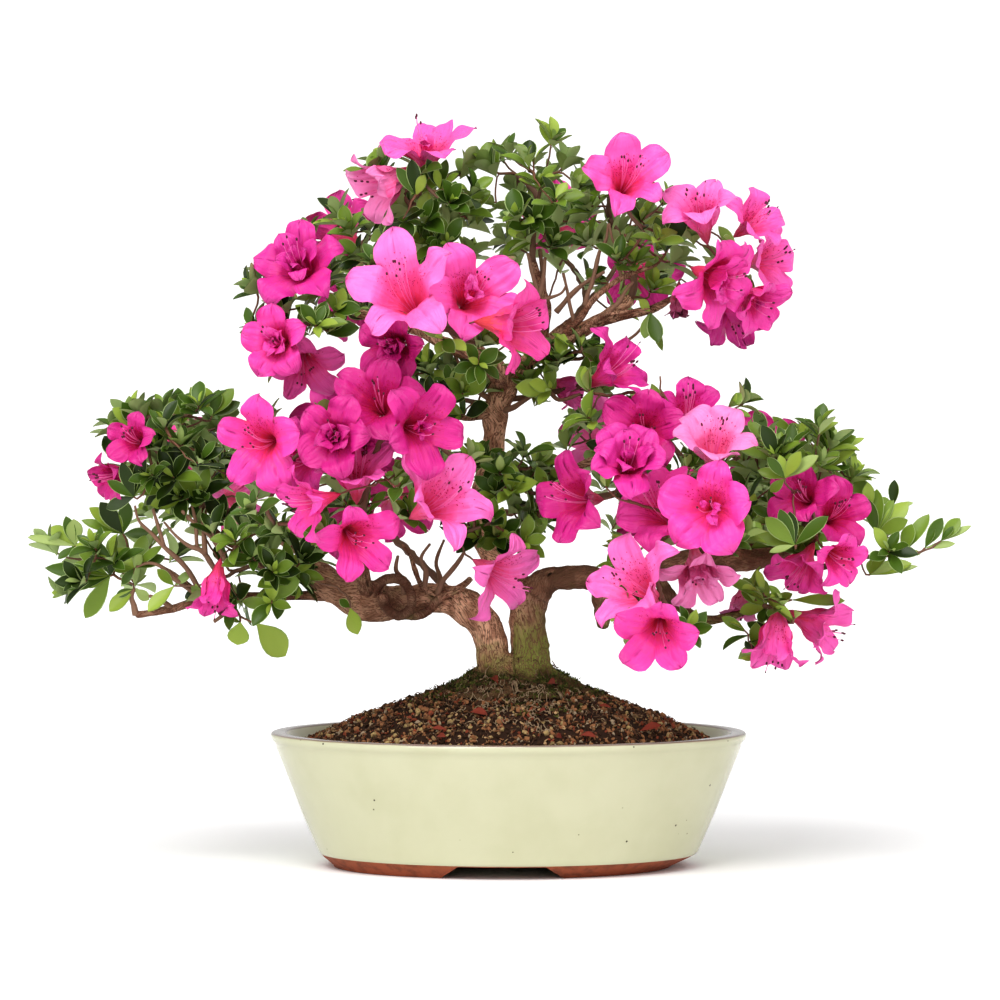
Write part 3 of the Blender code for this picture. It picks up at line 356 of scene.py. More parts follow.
# Shoots that the photograph shows one by one, by mass: column, row and depth of the shoot, then
# each leaf's tip as column and row, its width for its length, and its shade
HAND_SHOOTS = {
    "left_tip": (
        ((75, 546, -4), ((51, 527, 0.5, "fresh"), (74, 520, 0.54, "young"), (28, 536, 0.18, "young"),
            (103, 534, 0.3, "fresh"), (98, 563, 0.45, "mid"), (66, 517, 0.36, "dark"),
            (58, 558, 0.35, "dark"))),
        ((110, 576, -8), ((74, 563, 0.34, "mid"), (46, 568, 0.22, "dark"), (68, 588, 0.34, "dark"),
            (82, 584, 0.45, "fresh"), (85, 618, 0.32, "mid"), (100, 545, 0.4, "dark"),
            (114, 548, 0.4, "deep"), (80, 574, 0.36, "fresh"))),
        ((134, 568, -10), ((114, 548, 0.5, "fresh"), (141, 555, 0.6, "young"), (145, 535, 0.4, "mid"),
            (164, 556, 0.36, "dark"), (161, 546, 0.25, "mid"), (114, 570, 0.42, "mid"),
            (122, 584, 0.4, "dark"))),
        ((134, 589, -8), ((109, 611, 0.42, "fresh"), (149, 600, 0.5, "young"), (116, 596, 0.4, "dark"))),
        ((123, 534, -2), ((90, 508, 0.34, "fresh"), (82, 520, 0.22, "mid"), (110, 510, 0.42, "mid"),
            (127, 502, 0.4, "dark"), (101, 503, 0.4, "deep"), (148, 533, 0.4, "dark"))),
    ),
    "left_under": (
        ((174, 586, -14), ((147, 610, 0.38, "fresh"), (158, 570, 0.35, "mid"), (190, 572, 0.4, "mid"))),
        ((240, 622, -24), ((237, 645, 0.8, "fresh"), (228, 618, 0.45, "mid"))),
        ((256, 623, -26), ((286, 656, 0.56, "fresh"), (262, 604, 0.44, "dark"))),
        ((350, 608, -22), ((357, 634, 0.5, "fresh"), (340, 600, 0.45, "dark"))),
    ),
    "left_pad": (
        ((134, 497, -30), ((89, 480, 0.24, "fresh"), (108, 481, 0.3, "dark"), (122, 463, 0.32, "deep"),
            (134, 461, 0.32, "dark"), (114, 488, 0.34, "mid"), (155, 464, 0.24, "mid"),
            (144, 456, 0.3, "deep"), (106, 508, 0.4, "deep"))),
        ((142, 430, -10), ((114, 408, 0.38, "fresh"), (123, 403, 0.42, "dark"), (110, 423, 0.42, "mid"),
            (139, 404, 0.36, "dark"), (149, 404, 0.3, "mid"), (160, 406, 0.4, "mid"),
            (130, 424, 0.5, "deep"))),
        ((182, 424, -8), ((177, 388, 0.44, "dark"), (170, 398, 0.3, "mid"), (196, 402, 0.4, "mid"),
            (166, 416, 0.6, "young"))),
        ((212, 416, -6), ((191, 388, 0.36, "fresh"), (206, 388, 0.44, "fresh"), (219, 390, 0.4, "dark"),
            (233, 388, 0.4, "mid"), (240, 402, 0.36, "dark"))),
    ),
    "right_tip": (
        ((868, 514, 0), ((858, 477, 0.46, "mid"), (868, 483, 0.36, "fresh"), (852, 494, 0.44, "dark"))),
        ((877, 534, -2), ((876, 489, 0.32, "mid"), (893, 498, 0.24, "mid"), (908, 502, 0.36, "fresh"),
            (907, 520, 0.4, "mid"), (868, 500, 0.3, "dark"))),
        ((893, 507, 2), ((894, 480, 0.36, "deep"), (881, 497, 0.42, "mid"), (914, 502, 0.2, "young"))),
        ((903, 553, 0), ((911, 524, 0.44, "mid"), (928, 513, 0.3, "mid"), (921, 553, 0.3, "fresh"),
            (886, 548, 0.4, "dark"))),
        ((925, 548, 0), ((942, 518, 0.36, "dark"), (955, 543, 0.24, "young"), (934, 528, 0.32, "dark"))),
        ((941, 541, 0), ((960, 518, 0.42, "mid"), (971, 524, 0.2, "young"), (953, 526, 0.34, "dark"))),
        ((870, 575, -2), ((871, 560, 0.5, "mid"), (886, 549, 0.4, "mid"), (896, 562, 0.34, "young"),
            (911, 563, 0.34, "fresh"), (917, 566, 0.16, "young"))),
    ),
    "right_pad": (
        ((826, 452, 0), ((825, 425, 0.42, "dark"), (831, 423, 0.42, "mid"), (855, 436, 0.4, "mid"),
            (864, 437, 0.18, "fresh"), (815, 430, 0.4, "mid"))),
        ((824, 470, -6), ((856, 447, 0.24, "fresh"), (850, 466, 0.24, "dark"), (829, 450, 0.45, "mid"),
            (814, 450, 0.4, "fresh"))),
        ((797, 438, -4), ((806, 420, 0.34, "fresh"), (790, 424, 0.45, "dark"), (773, 417, 0.25, "mid"),
            (780, 426, 0.45, "mid"))),
        ((767, 434, -6), ((755, 411, 0.44, "dark"), (773, 424, 0.3, "mid"), (750, 430, 0.4, "dark"))),
        ((785, 478, -70), ((817, 455, 0.3, "young"), (780, 455, 0.38, "fresh"), (758, 470, 0.36, "mid"),
            (770, 492, 0.42, "mid"), (800, 452, 0.38, "fresh"), (768, 458, 0.34, "dark"))),
        ((795, 545, -74), ((810, 505, 0.36, "mid"), (827, 516, 0.32, "dark"), (755, 535, 0.32, "mid"),
            (790, 512, 0.34, "deep"), (770, 552, 0.28, "young"), (816, 528, 0.38, "young"),
            (766, 518, 0.36, "mid"), (780, 510, 0.32, "dark"))),
    ),
    "crown_top_left": (
        ((416, 196, -36), ((398, 168, 0.34, "dark"), (412, 160, 0.36, "deep"), (428, 162, 0.36, "dark"),
            (442, 176, 0.34, "mid"), (392, 186, 0.34, "mid"), (424, 176, 0.4, "fresh"))),
        ((440, 190, -34), ((428, 160, 0.34, "deep"), (446, 160, 0.32, "dark"), (458, 174, 0.34, "mid"),
            (436, 170, 0.34, "fresh"))),
    ),
    "crown_right": (
        ((650, 312, -18), ((658, 342, 0.42, "dark"), (644, 338, 0.42, "mid"), (662, 351, 0.18, "mid"),
            (640, 300, 0.45, "fresh"))),
        ((665, 252, -24), ((656, 218, 0.36, "dark"), (671, 214, 0.34, "mid"), (686, 212, 0.34, "deep"),
            (660, 232, 0.45, "fresh"))),
    ),
    "right_low": (
        ((767, 606, -24), ((792, 594, 0.34, "mid"), (761, 578, 0.4, "mid"), (761, 623, 0.6, "dark"),
            (774, 632, 0.25, "dark"), (742, 592, 0.4, "mid"), (740, 612, 0.45, "fresh"))),
        ((792, 600, -30), ((845, 600, 0.22, "mid"), (792, 571, 0.4, "dark"), (809, 580, 0.26, "mid"))),
    ),
}
# Twigs: radii in m, the length of a step, how much a turn at the foot and a bend on the way count
# against a place to start from, how many places are tried, and how the radius grows with its load
TWIG_TIP = 0.62 * MM
TWIG_LARGEST = 2.9 * MM
TWIG_OLD = 1.15 * MM
TWIG_STEP = 3.6 * MM
TURN_COST = 0.35
BEND_COST = 0.3
TWIG_TRIES = 8
TWIG_GROWTH = 0.42

# Petals: share of the way to the tip, distance from the axis and height over the throat,
# then the half width of the free lobe, all for a bloom with a radius of 1
PETAL_SPINE = (
    (0.0, 0.005, -0.78), (0.14, 0.09, -0.6), (0.28, 0.14, -0.42), (0.4, 0.23, -0.22), (0.5, 0.37, -0.08),
    (0.62, 0.55, 0.01), (0.76, 0.75, 0.06), (0.9, 0.92, 0.06), (1.0, 1.0, 0.03),
)
PETAL_HALF_WIDTH = (
    (0.28, 0.11), (0.4, 0.21), (0.5, 0.325), (0.6, 0.395), (0.69, 0.415), (0.78, 0.38), (0.87, 0.29),
    (0.935, 0.19), (0.972, 0.105), (1.0, 0.015),
)
PETAL_STEPS = (
    0, 0.14, 0.28, 0.33, 0.38, 0.43, 0.48, 0.53, 0.58, 0.63, 0.68, 0.73, 0.78, 0.83, 0.87, 0.91, 0.945, 0.975,
    0.99, 1,
)
PETAL_COLUMNS = 15
PETALS = 5
# Where a lobe bends out from the tube, how wide it is there, and how far it laps over the next
PETAL_HINGE = (0.20, -0.26)
JOINED_WIDTH = 1.06
TUBE_OVERLAP = 1.10
# For a bloom's radius: where its stalk ends, how far it hides what is behind it, and how near
# another one is looked at
BLOOM_NECK = 0.76
BLOOM_FACE = 0.86
BLOOMS_NEAR = 1.2

# Blossom colours in linear light: the free lobe, and what shows in the throat and outside on the tube
HUES = {
    "hot": ((0.81, 0.056, 0.370), (0.80, 0.052, 0.150)),
    "rose": ((0.87, 0.112, 0.455), (0.84, 0.070, 0.190)),
    "light": ((0.90, 0.170, 0.515), (0.86, 0.088, 0.230)),
    "magenta": ((0.66, 0.032, 0.300), (0.68, 0.030, 0.125)),
    "deep": ((0.58, 0.019, 0.230), (0.60, 0.024, 0.110)),
    "pale": ((0.88, 0.235, 0.520), (0.84, 0.120, 0.270)),
    "coral": ((0.79, 0.070, 0.330), (0.80, 0.095, 0.110)),
    "wilted": ((0.25, 0.040, 0.095), (0.30, 0.060, 0.070)),
}
# Bands across a lobe: up to what share of the way to the tip, and how much throat colour
PETAL_BANDS = (
    ("throat", 0.32, 1.0), ("inner", 0.41, 0.66), ("middle", 0.51, 0.38), ("outer", 0.62, 0.17),
    ("blade", 0.84, 0.0), ("rim", 9.0, -0.04),
)
# Painted highlight: the rim band is tinted a little towards this paler pink, as where light shines through
# the lobes' edges
RIM_HIGHLIGHT = (1.0, 0.50, 0.85)
BAND_WAVER = 0.045
SPECKLE = (0.50, 0.012, 0.095)
# Speckles on the upper lobe and on each of its neighbours, and stamens of each build of bloom
SPECKLES = (60, 24)
STAMENS = {"single": 6, "petaloid": 3, "double": 3}
FILAMENT = (0.86, 0.200, 0.480)
ANTHER = (0.110, 0.020, 0.040)

# Blooms by mass: column, row and depth of the throat, turn to the right, tilt up, radius in mm,
# then colour, build, how far the lobes stand up, roll to the right, and how wide the lobes are
BLOOM_SHIFTS = tuple(side * step for step in range(0, 42, 3) for side in (-1, 1))
BLOOMS = {
    "crown_top_left": (
        (426, 146, -20, -12, 68, 33, "rose", "petaloid", 4, 0, 0.8),
        (385, 184, -30, -62, -24, 32, "pale", "single", 36, 0, 0.7),
    ),
    "crown_left_flowers": (
        (299, 264, -40, -20, 34, 31, "magenta", "double", 4, -8, 0.88),
        (276, 342, -60, -21, 5, 26, "hot", "double", 18, -6, 0.95),
        (305, 366, -20, 8, -38, 28, "rose", "single", 20, -10, 0.75),
    ),
    "crown_front_flowers": (
        (403, 292, -120, -20, 29, 43, "light", "single", 22, -14, 0.7),
        (471, 295, -90, 14, 17, 36, "rose", "petaloid", 18, -22, 0.84),
        (512, 325, -110, 60, -4, 33, "coral", "single", 33, -13, 0.78),
        (394, 347, -90, -20, -12, 26, "deep", "double", 15, 12, 0.85),
    ),
    "left_flowers": (
        (260, 443, -100, -24, -3, 31, "hot", "single", 10, 4, 0.86),
        (378, 402, -100, -10, 22, 30, "deep", "single", 14, 12, 0.88),
        (420, 428, -130, 30, -2, 30, "deep", "petaloid", 12, 28, 0.86),
        (334, 436, -120, -12, 8, 26, "deep", "double", 16, 18, 0.95),
        (300, 460, -80, -30, -10, 27, "magenta", "single", 14, 0, 0.85),
        (309, 503, -120, -64, -14, 27, "hot", "single", 22, 8, 0.7),
        (356, 474, -110, 0, 52, 30, "rose", "single", 22, -18, 0.66),
        (365, 446, -60, 10, 20, 26, "deep", "double", 14, 0, 0.9),
        (356, 538, -110, 22, -14, 29, "hot", "single", 14, -15, 0.74),
        (440, 500, -120, 42, 24, 38, "light", "single", 17, 43, 0.68),
    ),
    "centre_spray": (
        (502, 576, -70, 55, -23, 30, "light", "single", 10, -9, 0.72),
    ),
    "left_under": (
        (215, 590, -50, -16, -62, 27, "hot", "single", 40, 0, 0.6),
    ),
    "left_pad": (
        (134, 440, -40, -24, 10, 21, "deep", "single", 26, 10, 0.8),
        (112, 476, -20, -55, -20, 20, "deep", "single", 32, 0, 0.8),
    ),
    "crown_right": (
        (627, 180, -50, 12, 24, 31, "rose", "single", 22, -11, 0.76),
    ),
    "crown_right_flowers": (
        (700, 214, -40, -18, 50, 31, "light", "single", 34, 12, 0.78),
        (720, 281, -60, 44, -18, 33, "hot", "double", 8, -33, 0.86),
        (754, 222, -10, 50, 30, 24, "rose", "single", 14, 16, 0.8),
        (768, 262, 20, 58, 2, 26, "rose", "single", 12, 0, 0.86),
        (756, 302, -30, 50, -30, 26, "hot", "petaloid", 26, -19, 0.76),
        (731, 312, 0, 14, -62, 33, "magenta", "single", 36, 0, 0.66),
        (678, 302, -30, -10, -76, 17, "wilted", "single", 56, 0, 0.6),
    ),
    "inner_right_spray": (
        (566, 388, 10, 72, -22, 20, "rose", "single", 30, 0, 0.8),
    ),
    "right_upper_flowers": (
        (615, 370, -50, 56, 26, 31, "magenta", "single", 22, -30, 0.64),
        (645, 430, -70, -3, 4, 29, "deep", "single", 12, 9, 0.9),
        (690, 410, -40, 20, 50, 27, "magenta", "single", 22, 4, 0.8),
        (713, 443, -100, 2, 50, 32, "pale", "single", 24, 33, 0.86),
    ),
    "right_flowers": (
        (629, 460, -110, 7, 36, 28, "magenta", "double", 16, 38, 0.95),
        (575, 498, -80, -44, 4, 32, "deep", "single", 17, -22, 0.8),
        (662, 508, -90, -30, 34, 33, "hot", "single", 12, -35, 1.02),
        (709, 508, -130, -14, 3, 31, "hot", "petaloid", 9, 7, 1.02),
        (634, 586, -110, -46, 24, 36, "light", "single", 17, -24, 0.72),
        (698, 572, -80, 10, -48, 29, "pale", "double", 26, 0, 0.7),
        (659, 633, -130, -4, -24, 28, "hot", "single", 17, 7, 0.92),
    ),
    "right_pad": (
        (836, 515, -30, 20, 16, 26, "deep", "single", 16, 1, 0.85),
        (802, 496, -60, -22, 16, 24, "deep", "single", 18, 8, 0.85),
        (801, 568, -40, -40, -48, 26, "hot", "single", 20, -5, 0.85),
        (838, 558, -50, 30, -20, 23, "hot", "single", 20, 0, 0.75),
    ),
    "right_low": (
        (776, 638, -50, -17, -66, 32, "rose", "single", 44, 18, 0.6),
        (818, 626, -20, 72, -22, 30, "rose", "single", 30, -21, 0.6),
        (740, 604, -10, -20, -60, 18, "pale", "single", 40, 0, 0.7),
    ),
    "back_left_pad": (
        (176, 440, 152, 200, 15, 28, "hot", "single", 6, 0, 0.86),
        (236, 500, 130, 160, -8, 28, "light", "single", 12, 12, 0.8),
    ),
    "back_left_inner": (
        (330, 430, 120, 190, 12, 30, "magenta", "double", 10, 0, 0.9),
        (400, 500, 110, 165, -10, 30, "hot", "single", 12, 8, 0.8),
        (350, 520, 90, 215, -20, 28, "deep", "single", 18, 0, 0.76),
    ),
    "back_crown_left": (
        (340, 230, 110, 215, 22, 29, "hot", "single", 12, 10, 0.82),
        (420, 290, 120, 175, 0, 32, "light", "single", 10, 0, 0.86),
        (350, 305, 100, 230, -14, 28, "magenta", "single", 18, 14, 0.76),
    ),
    "back_crown_right": (
        (560, 220, 130, 172, 20, 30, "hot", "petaloid", 10, 0, 0.88),
        (640, 270, 120, 160, 0, 31, "magenta", "single", 12, -10, 0.8),
    ),
    "back_right_inner": (
        (600, 440, 120, 185, 14, 31, "light", "single", 10, 8, 0.84),
        (650, 500, 110, 160, -12, 30, "deep", "single", 16, 0, 0.78),
    ),
    "back_right_pad": (
        (760, 450, 130, 175, 18, 30, "hot", "double", 10, 12, 0.9),
        (820, 500, 120, 140, -6, 28, "magenta", "single", 12, 0, 0.8),
    ),
}

# Pot, bark and litter colours in linear light
GLAZE = (0.520, 0.515, 0.350)
GLAZE_POOLED = (0.485, 0.480, 0.315)
RIM_LINE = (0.230, 0.170, 0.130)
CLAY = (0.300, 0.075, 0.028)
SPECK = (0.050, 0.035, 0.025)
BARK_LIGHT = (0.840, 0.495, 0.335)
BARK_MID = (0.455, 0.232, 0.146)
# Painted shade that fills the deepest crevices of the bark
BARK_CREVICE_SHADE = (0.034, 0.018, 0.009)
BOUGH_LIGHT = (0.520, 0.300, 0.200)
BOUGH_MID = (0.275, 0.126, 0.080)
BARK_ALGAE = (0.225, 0.265, 0.055)
BARK_WET = (0.058, 0.040, 0.012)
YOUNG_BARK = (0.190, 0.085, 0.050)
OLD_TWIG = (0.180, 0.100, 0.068)
SHOOT_BARK = (0.235, 0.132, 0.086)
FINE_ROOT = (0.300, 0.220, 0.135)
FIBRE = (0.130, 0.070, 0.040)
FALLEN_LEAF = (0.190, 0.028, 0.012)
MOSS_GREENS = {"dark": (0.055, 0.064, 0.014), "light": (0.150, 0.165, 0.040)}
CRUMBS = {"black": (0.020, 0.013, 0.007), "brown": (0.130, 0.070, 0.038), "olive": (0.120, 0.105, 0.040)}

# Floor, then lights: name, kind, place, size of an area or angle of a sun, power
FLOOR = (0.93, 0.93, 0.93)
WORLD_LIGHT = 0.64
LIT_POINT = (0, 0, 0.22)
LIGHTS = (
    ("key", "SUN", (-0.7, -1.8, 2.9), math.radians(38), 1.56),
    ("side", "SUN", (2.2, -1.9, 2.3), math.radians(60), 0.62),
    ("front", "AREA", (-1.4, -3.0, 1.6), 1.6, 22),
)


def unit(vectors):
    vectors = np.asarray(vectors, float)
    return vectors / np.maximum(np.linalg.norm(vectors, axis=-1, keepdims=True), 1e-12)


def smooth(share):
    """A share from 0 to 1 that starts and ends gently."""
    return share * share * (3 - 2 * share)


def risen(value, start, over):
    """How far a value has risen past a start, from 0 up to 1 once it is over it by this much."""
    return np.clip((value - start) / over, 0, 1)


def seen(column, row, depth):
    """The point at this depth that the photograph shows at this column and row."""
    on_plane = np.array(((column - CENTRE_COLUMN) * PIXEL, 0.0, (GROUND_ROW - row) * PIXEL))
    share = (depth * MM - VIEWER[1]) / -VIEWER[1]
    return VIEWER + (on_plane - VIEWER) * share


def shown(points):
    """The columns and rows at which the photograph shows points."""
    points = np.asarray(points, float)
    share = -VIEWER[1] / (points[..., 1] - VIEWER[1])
    on_plane = VIEWER + (points - VIEWER) * share[..., None]
    return CENTRE_COLUMN + on_plane[..., 0] / PIXEL, GROUND_ROW - on_plane[..., 2] / PIXEL


def in_ovals(points, ovals):
    """Which points the photograph shows inside one of these ovals."""
    columns, rows = shown(points)
    inside = np.zeros(np.shape(columns), bool)
    for x, y, wide, high in ovals:
        inside |= ((columns - x) / wide) ** 2 + ((rows - y) / high) ** 2 < 1
    return inside


def in_window(points):
    """Which points would fill a window of sky, or hide the bare twigs that show between the leaves."""
    return in_ovals(points, SKY) | in_ovals(points, OPEN) & (points[..., 1] < 2 * MM)


def facing(turn, tilt):
    """The direction of a bloom that is turned this far to the right and tilted this far up."""
    turn, tilt = math.radians(turn), math.radians(tilt)
    level = math.cos(tilt)
    return np.array((math.sin(turn) * level, -math.cos(turn) * level, math.sin(tilt)))


def across_of(way):
    """A unit vector across a direction."""
    return unit(np.cross(way, UP if abs(way[2]) < 0.95 else (1.0, 0.0, 0.0)))


def upward_of(way):
    """The unit vector across a direction that rises most."""
    return unit(UP - way * way[2])


def lattice_noise(points, size, seed=0):
    """Smooth noise from -1 to 1 at points, with lumps of this size."""
    scaled = np.asarray(points, float) / size + seed * NOISE_STRIDE
    cell = np.floor(scaled).astype(np.int64)
    part = smooth(scaled - cell)
    total = np.zeros(len(scaled))
    for corner in range(8):
        step = np.array((corner & 1, corner >> 1 & 1, corner >> 2 & 1))
        x, y, z = (cell + step).T * np.array(NOISE_PRIMES)[:, None]
        mixed = x ^ y ^ z
        mixed = ((mixed ^ (mixed >> 13)) * NOISE_FACTOR) & NOISE_MASK
        value = (mixed % NOISE_VALUES) / (NOISE_VALUES / 2) - 1
        total += value * np.prod(np.where(step == 1, part, 1 - part), axis=1)
    return total


def grid_faces(rows, columns, closed):
    """Triangles between the points of a grid, closed round its columns where it is a tube."""
    row = np.arange(rows - 1)[:, None]
    column = np.arange(columns if closed else columns - 1)[None, :]
    after = (column + 1) % columns
    a, b = row * columns + column, row * columns + after
    c, d = (row + 1) * columns + after, (row + 1) * columns + column
    return np.concatenate([np.stack(corners, axis=-1).reshape(-1, 3) for corners in ((a, b, c), (a, c, d))])


def closed_faces(rings, sides):
    """Triangles of a closed skin over rings, with the two points after them as its ends."""
    around = np.arange(sides)
    after = (around + 1) % sides
    first, last = rings * sides, (rings - 1) * sides
    return np.concatenate((
        grid_faces(rings, sides, True),
        np.stack((after, around, np.full(sides, first)), axis=1),
        np.stack((last + around, last + after, np.full(sides, first + 1)), axis=1),
    ))


def tube(path, radii, sides, lumps=0.0, seed=0):
    """Points and triangles of a tube along a path, closed by a point at each end."""
    path = np.asarray(path, float)
    ways = unit(np.gradient(path, axis=0))
    across = across_of(ways[0])
    angles = np.arange(sides) * math.tau / sides
    rings = np.empty((len(path), sides, 3))
    for i, (centre, way) in enumerate(zip(path, ways)):
        across = unit(across - way * across.dot(way))
        up = np.cross(way, across)
        rings[i] = centre + (np.outer(np.cos(angles), across) + np.outer(np.sin(angles), up)) * radii[i]
    if lumps:
        bump = lattice_noise(rings.reshape(-1, 3), TUBE_LUMP, seed).reshape(len(path), sides, 1)
        rings = rings + (rings - path[:, None, :]) * bump * lumps
    beyond = path[-1] + ways[-1] * radii[-1] * 0.5
    return np.concatenate((rings.reshape(-1, 3), [path[0], beyond])), closed_faces(len(path), sides)


def smooth_path(stations, steps, before=None):
    """Centres and radii on a curve through stations (Catmull-Rom), going on from another path."""
    points = [(seen(*s[:3]), s[3] * MM) for s in stations]
    if before is not None:
        points.insert(0, before)
    path = []
    for i in range(len(points) - 1):
        around = [points[max(i - 1, 0)], points[i], points[i + 1], points[min(i + 2, len(points) - 1)]]
        for step in range(steps):
            t = step / steps
            weights = (
                -t / 2 + t * t - t ** 3 / 2,
                1 - 5 * t * t / 2 + 3 * t ** 3 / 2,
                t / 2 + 2 * t * t - 3 * t ** 3 / 2,
                -t * t / 2 + t ** 3 / 2,
            )
            path.append([sum(w * p[part] for w, p in zip(weights, around)) for part in (0, 1)])
    path.append(points[-1])
    return np.array([p for p, _ in path]), np.array([r for _, r in path])


def in_scene(name, data):
    made = bpy.data.objects.new(name, data)
    bpy.context.scene.collection.objects.link(made)
    return made


class Shape:
    """Points and triangles gathered from many small shapes."""

    def __init__(self):
        self.points, self.faces, self.count = [], [], 0

    def add(self, points, faces):
        points = np.asarray(points, float).reshape(-1, 3)
        self.points.append(points)
        self.faces.append(np.asarray(faces) + self.count)
        self.count += len(points)

    def mesh(self, name):
        mesh = bpy.data.meshes.new(name)
        mesh.from_pydata(np.concatenate(self.points), [], np.concatenate(self.faces))
        return mesh

    def tree(self):
        return BVHTree.FromPolygons(np.concatenate(self.points).tolist(), np.concatenate(self.faces).tolist())


class Piece(Shape):
    """A shape that becomes one joined piece of the scene."""

    def __init__(self, name, slot, material):
        super().__init__()
        self.name, self.slot, self.material = name, slot, material
        self.normals, self.lies = [], []

    def add(self, points, faces, normals=None, lie=None):
        super().add(points, faces)
        if normals is not None:
            self.normals.append(normals.reshape(-1, 3))
        if lie is not None:
            self.lies.append(lie)

    def build(self):
        """Puts the piece in the scene, unless it is empty."""
        if not self.points:
            return None
        mesh = self.mesh(self.name)
        mesh.shade_smooth()
        if self.normals:
            mesh.normals_split_custom_set_from_vertices(np.concatenate(self.normals))
        if self.lies:
            lie = mesh.attributes.new("lie", "FLOAT_VECTOR", "POINT")
            lie.data.foreach_set("vector", np.concatenate(self.lies).ravel())
        return place(self.name, mesh, self.material)


def place(name, mesh, material):
    """Puts a finished mesh in the scene as one of its pieces."""
    made = in_scene(name, mesh)
    mesh.materials.clear()
    mesh.materials.append(material)
    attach(made, "root")
    return made


def principled(name, colour, roughness, specular=0.5):
    made = bpy.data.materials.new(name)
    made.use_nodes = True
    shader = made.node_tree.nodes["Principled BSDF"]
    shader.inputs["Base Color"].default_value = (*colour, 1)
    shader.inputs["Roughness"].default_value = roughness
    shader.inputs["Specular IOR Level"].default_value = specular
    return made, shader


def feed(tree, socket, value):
    """Links a node's input to another node's output, or sets it."""
    if isinstance(value, bpy.types.NodeSocket):
        tree.links.new(value, socket)
    else:
        socket.default_value = (*value, 1) if isinstance(value, tuple) else value


def from_node(tree, kind, output, **values):
    """One output of a new node with these inputs."""
    node = tree.nodes.new("ShaderNode" + kind)
    for key, value in values.items():
        feed(tree, node.inputs[key.replace("_", " ")], value)
    return node.outputs[output]


def noise(tree, where, scale, detail, **values):
    return from_node(tree, "TexNoise", "Fac", Vector=where, Scale=scale, Detail=detail, **values)


def calculated(tree, operation, *values):
    node = tree.nodes.new("ShaderNodeMath")
    node.operation = operation
    for socket, value in zip(node.inputs, values):
        feed(tree, socket, value)
    return node.outputs[0]


def attribute(tree, name, output):
    node = tree.nodes.new("ShaderNodeAttribute")
    node.attribute_name = name
    return node.outputs[output]


def mixed_colour(tree, share, first, second):
    mix = tree.nodes.new("ShaderNodeMix")
    mix.data_type = "RGBA"
    tree.links.new(share, mix.inputs["Factor"])
    for socket, colour in zip((s for s in mix.inputs if s.type == "RGBA"), (first, second)):
        feed(tree, socket, colour)
    return next(s for s in mix.outputs if s.type == "RGBA")


def ramp(tree, value, low, high):
    """0 up to low, 1 from high, smooth between."""
    node = tree.nodes.new("ShaderNodeMapRange")
    node.interpolation_type = "SMOOTHSTEP"
    for key, source in (("Value", value), ("From Min", low), ("From Max", high)):
        feed(tree, node.inputs[key], source)
    return node.outputs["Result"]


def add_relief(tree, shader, height, strength, distance):
    bump = from_node(tree, "Bump", "Normal", Height=height, Strength=strength, Distance=distance)
    tree.links.new(bump, shader.inputs["Normal"])


def grain(tree, shader, size, height):
    """Fine relief of this size on a surface."""
    where = from_node(tree, "TexCoord", "Object")
    add_relief(tree, shader, noise(tree, where, 1 / size, 2.0), 0.6, height)
    return where


def matt(name, colour, roughness, size=1.2 * MM, height=0.15 * MM, specular=0.5):
    """A plain base colour with a fine relief."""
    made, shader = principled(name, colour, roughness, specular)
    grain(made.node_tree, shader, size, height)
    return made


def plain_piece(name, slot, *surface):
    """An empty piece in one plain colour."""
    return Piece(name, slot, matt(name, *surface))


def petal_material(name, colour):
    """A plain colour with fine veins along the lobe."""
    made, shader = principled(name, colour, 0.48, 0.35)
    tree = made.node_tree
    add_relief(tree, shader, noise(tree, attribute(tree, "lie", "Vector"), 1.0, 3.0), 1.0, 1.1 * MM)
    return made


def glaze_material():
    """Pale glaze, a little darker where it pools, with pinholes and a thin brown line at the rim."""
    made, shader = principled("glaze", GLAZE, 0.16)
    tree = made.node_tree
    where = from_node(tree, "TexCoord", "Object")
    cloud = noise(tree, where, 28.0, 4.0)
    colour = mixed_colour(tree, ramp(tree, cloud, 0.35, 0.75), GLAZE, GLAZE_POOLED)
    specks = from_node(tree, "TexVoronoi", "Distance", Vector=where, Scale=95.0, Randomness=1.0)
    thinned = ramp(tree, noise(tree, where, 60.0, 0.0), 0.56, 0.60)
    pinholes = calculated(tree, "MULTIPLY", ramp(tree, specks, 0.075, 0.045), thinned)
    colour = mixed_colour(tree, pinholes, colour, SPECK)
    height = from_node(tree, "SeparateXYZ", "Z", Vector=where)
    wavy = calculated(tree, "MULTIPLY_ADD", cloud, 1.4 * MM, height)
    line = ramp(tree, wavy, POT_HEIGHT - 0.5 * MM, POT_HEIGHT + 0.4 * MM)
    colour = mixed_colour(tree, line, colour, RIM_LINE)
    tree.links.new(colour, shader.inputs["Base Color"])
    add_relief(tree, shader, noise(tree, where, 120.0, 3.0), 0.25, 0.3 * MM)
    shader.inputs["Coat Weight"].default_value = 0.4
    shader.inputs["Coat Roughness"].default_value = 0.06
    return made


def clay_material():
    """Unglazed clay, darker in clouds."""
    made, shader = principled("clay", CLAY, 0.75)
    tree = made.node_tree
    cloud = noise(tree, grain(tree, shader, 0.8 * MM, 0.3 * MM), 180.0, 4.0)
    colour = mixed_colour(tree, ramp(tree, cloud, 0.4, 0.7), CLAY, tuple(0.62 * c for c in CLAY))
    tree.links.new(colour, shader.inputs["Base Color"])
    return made


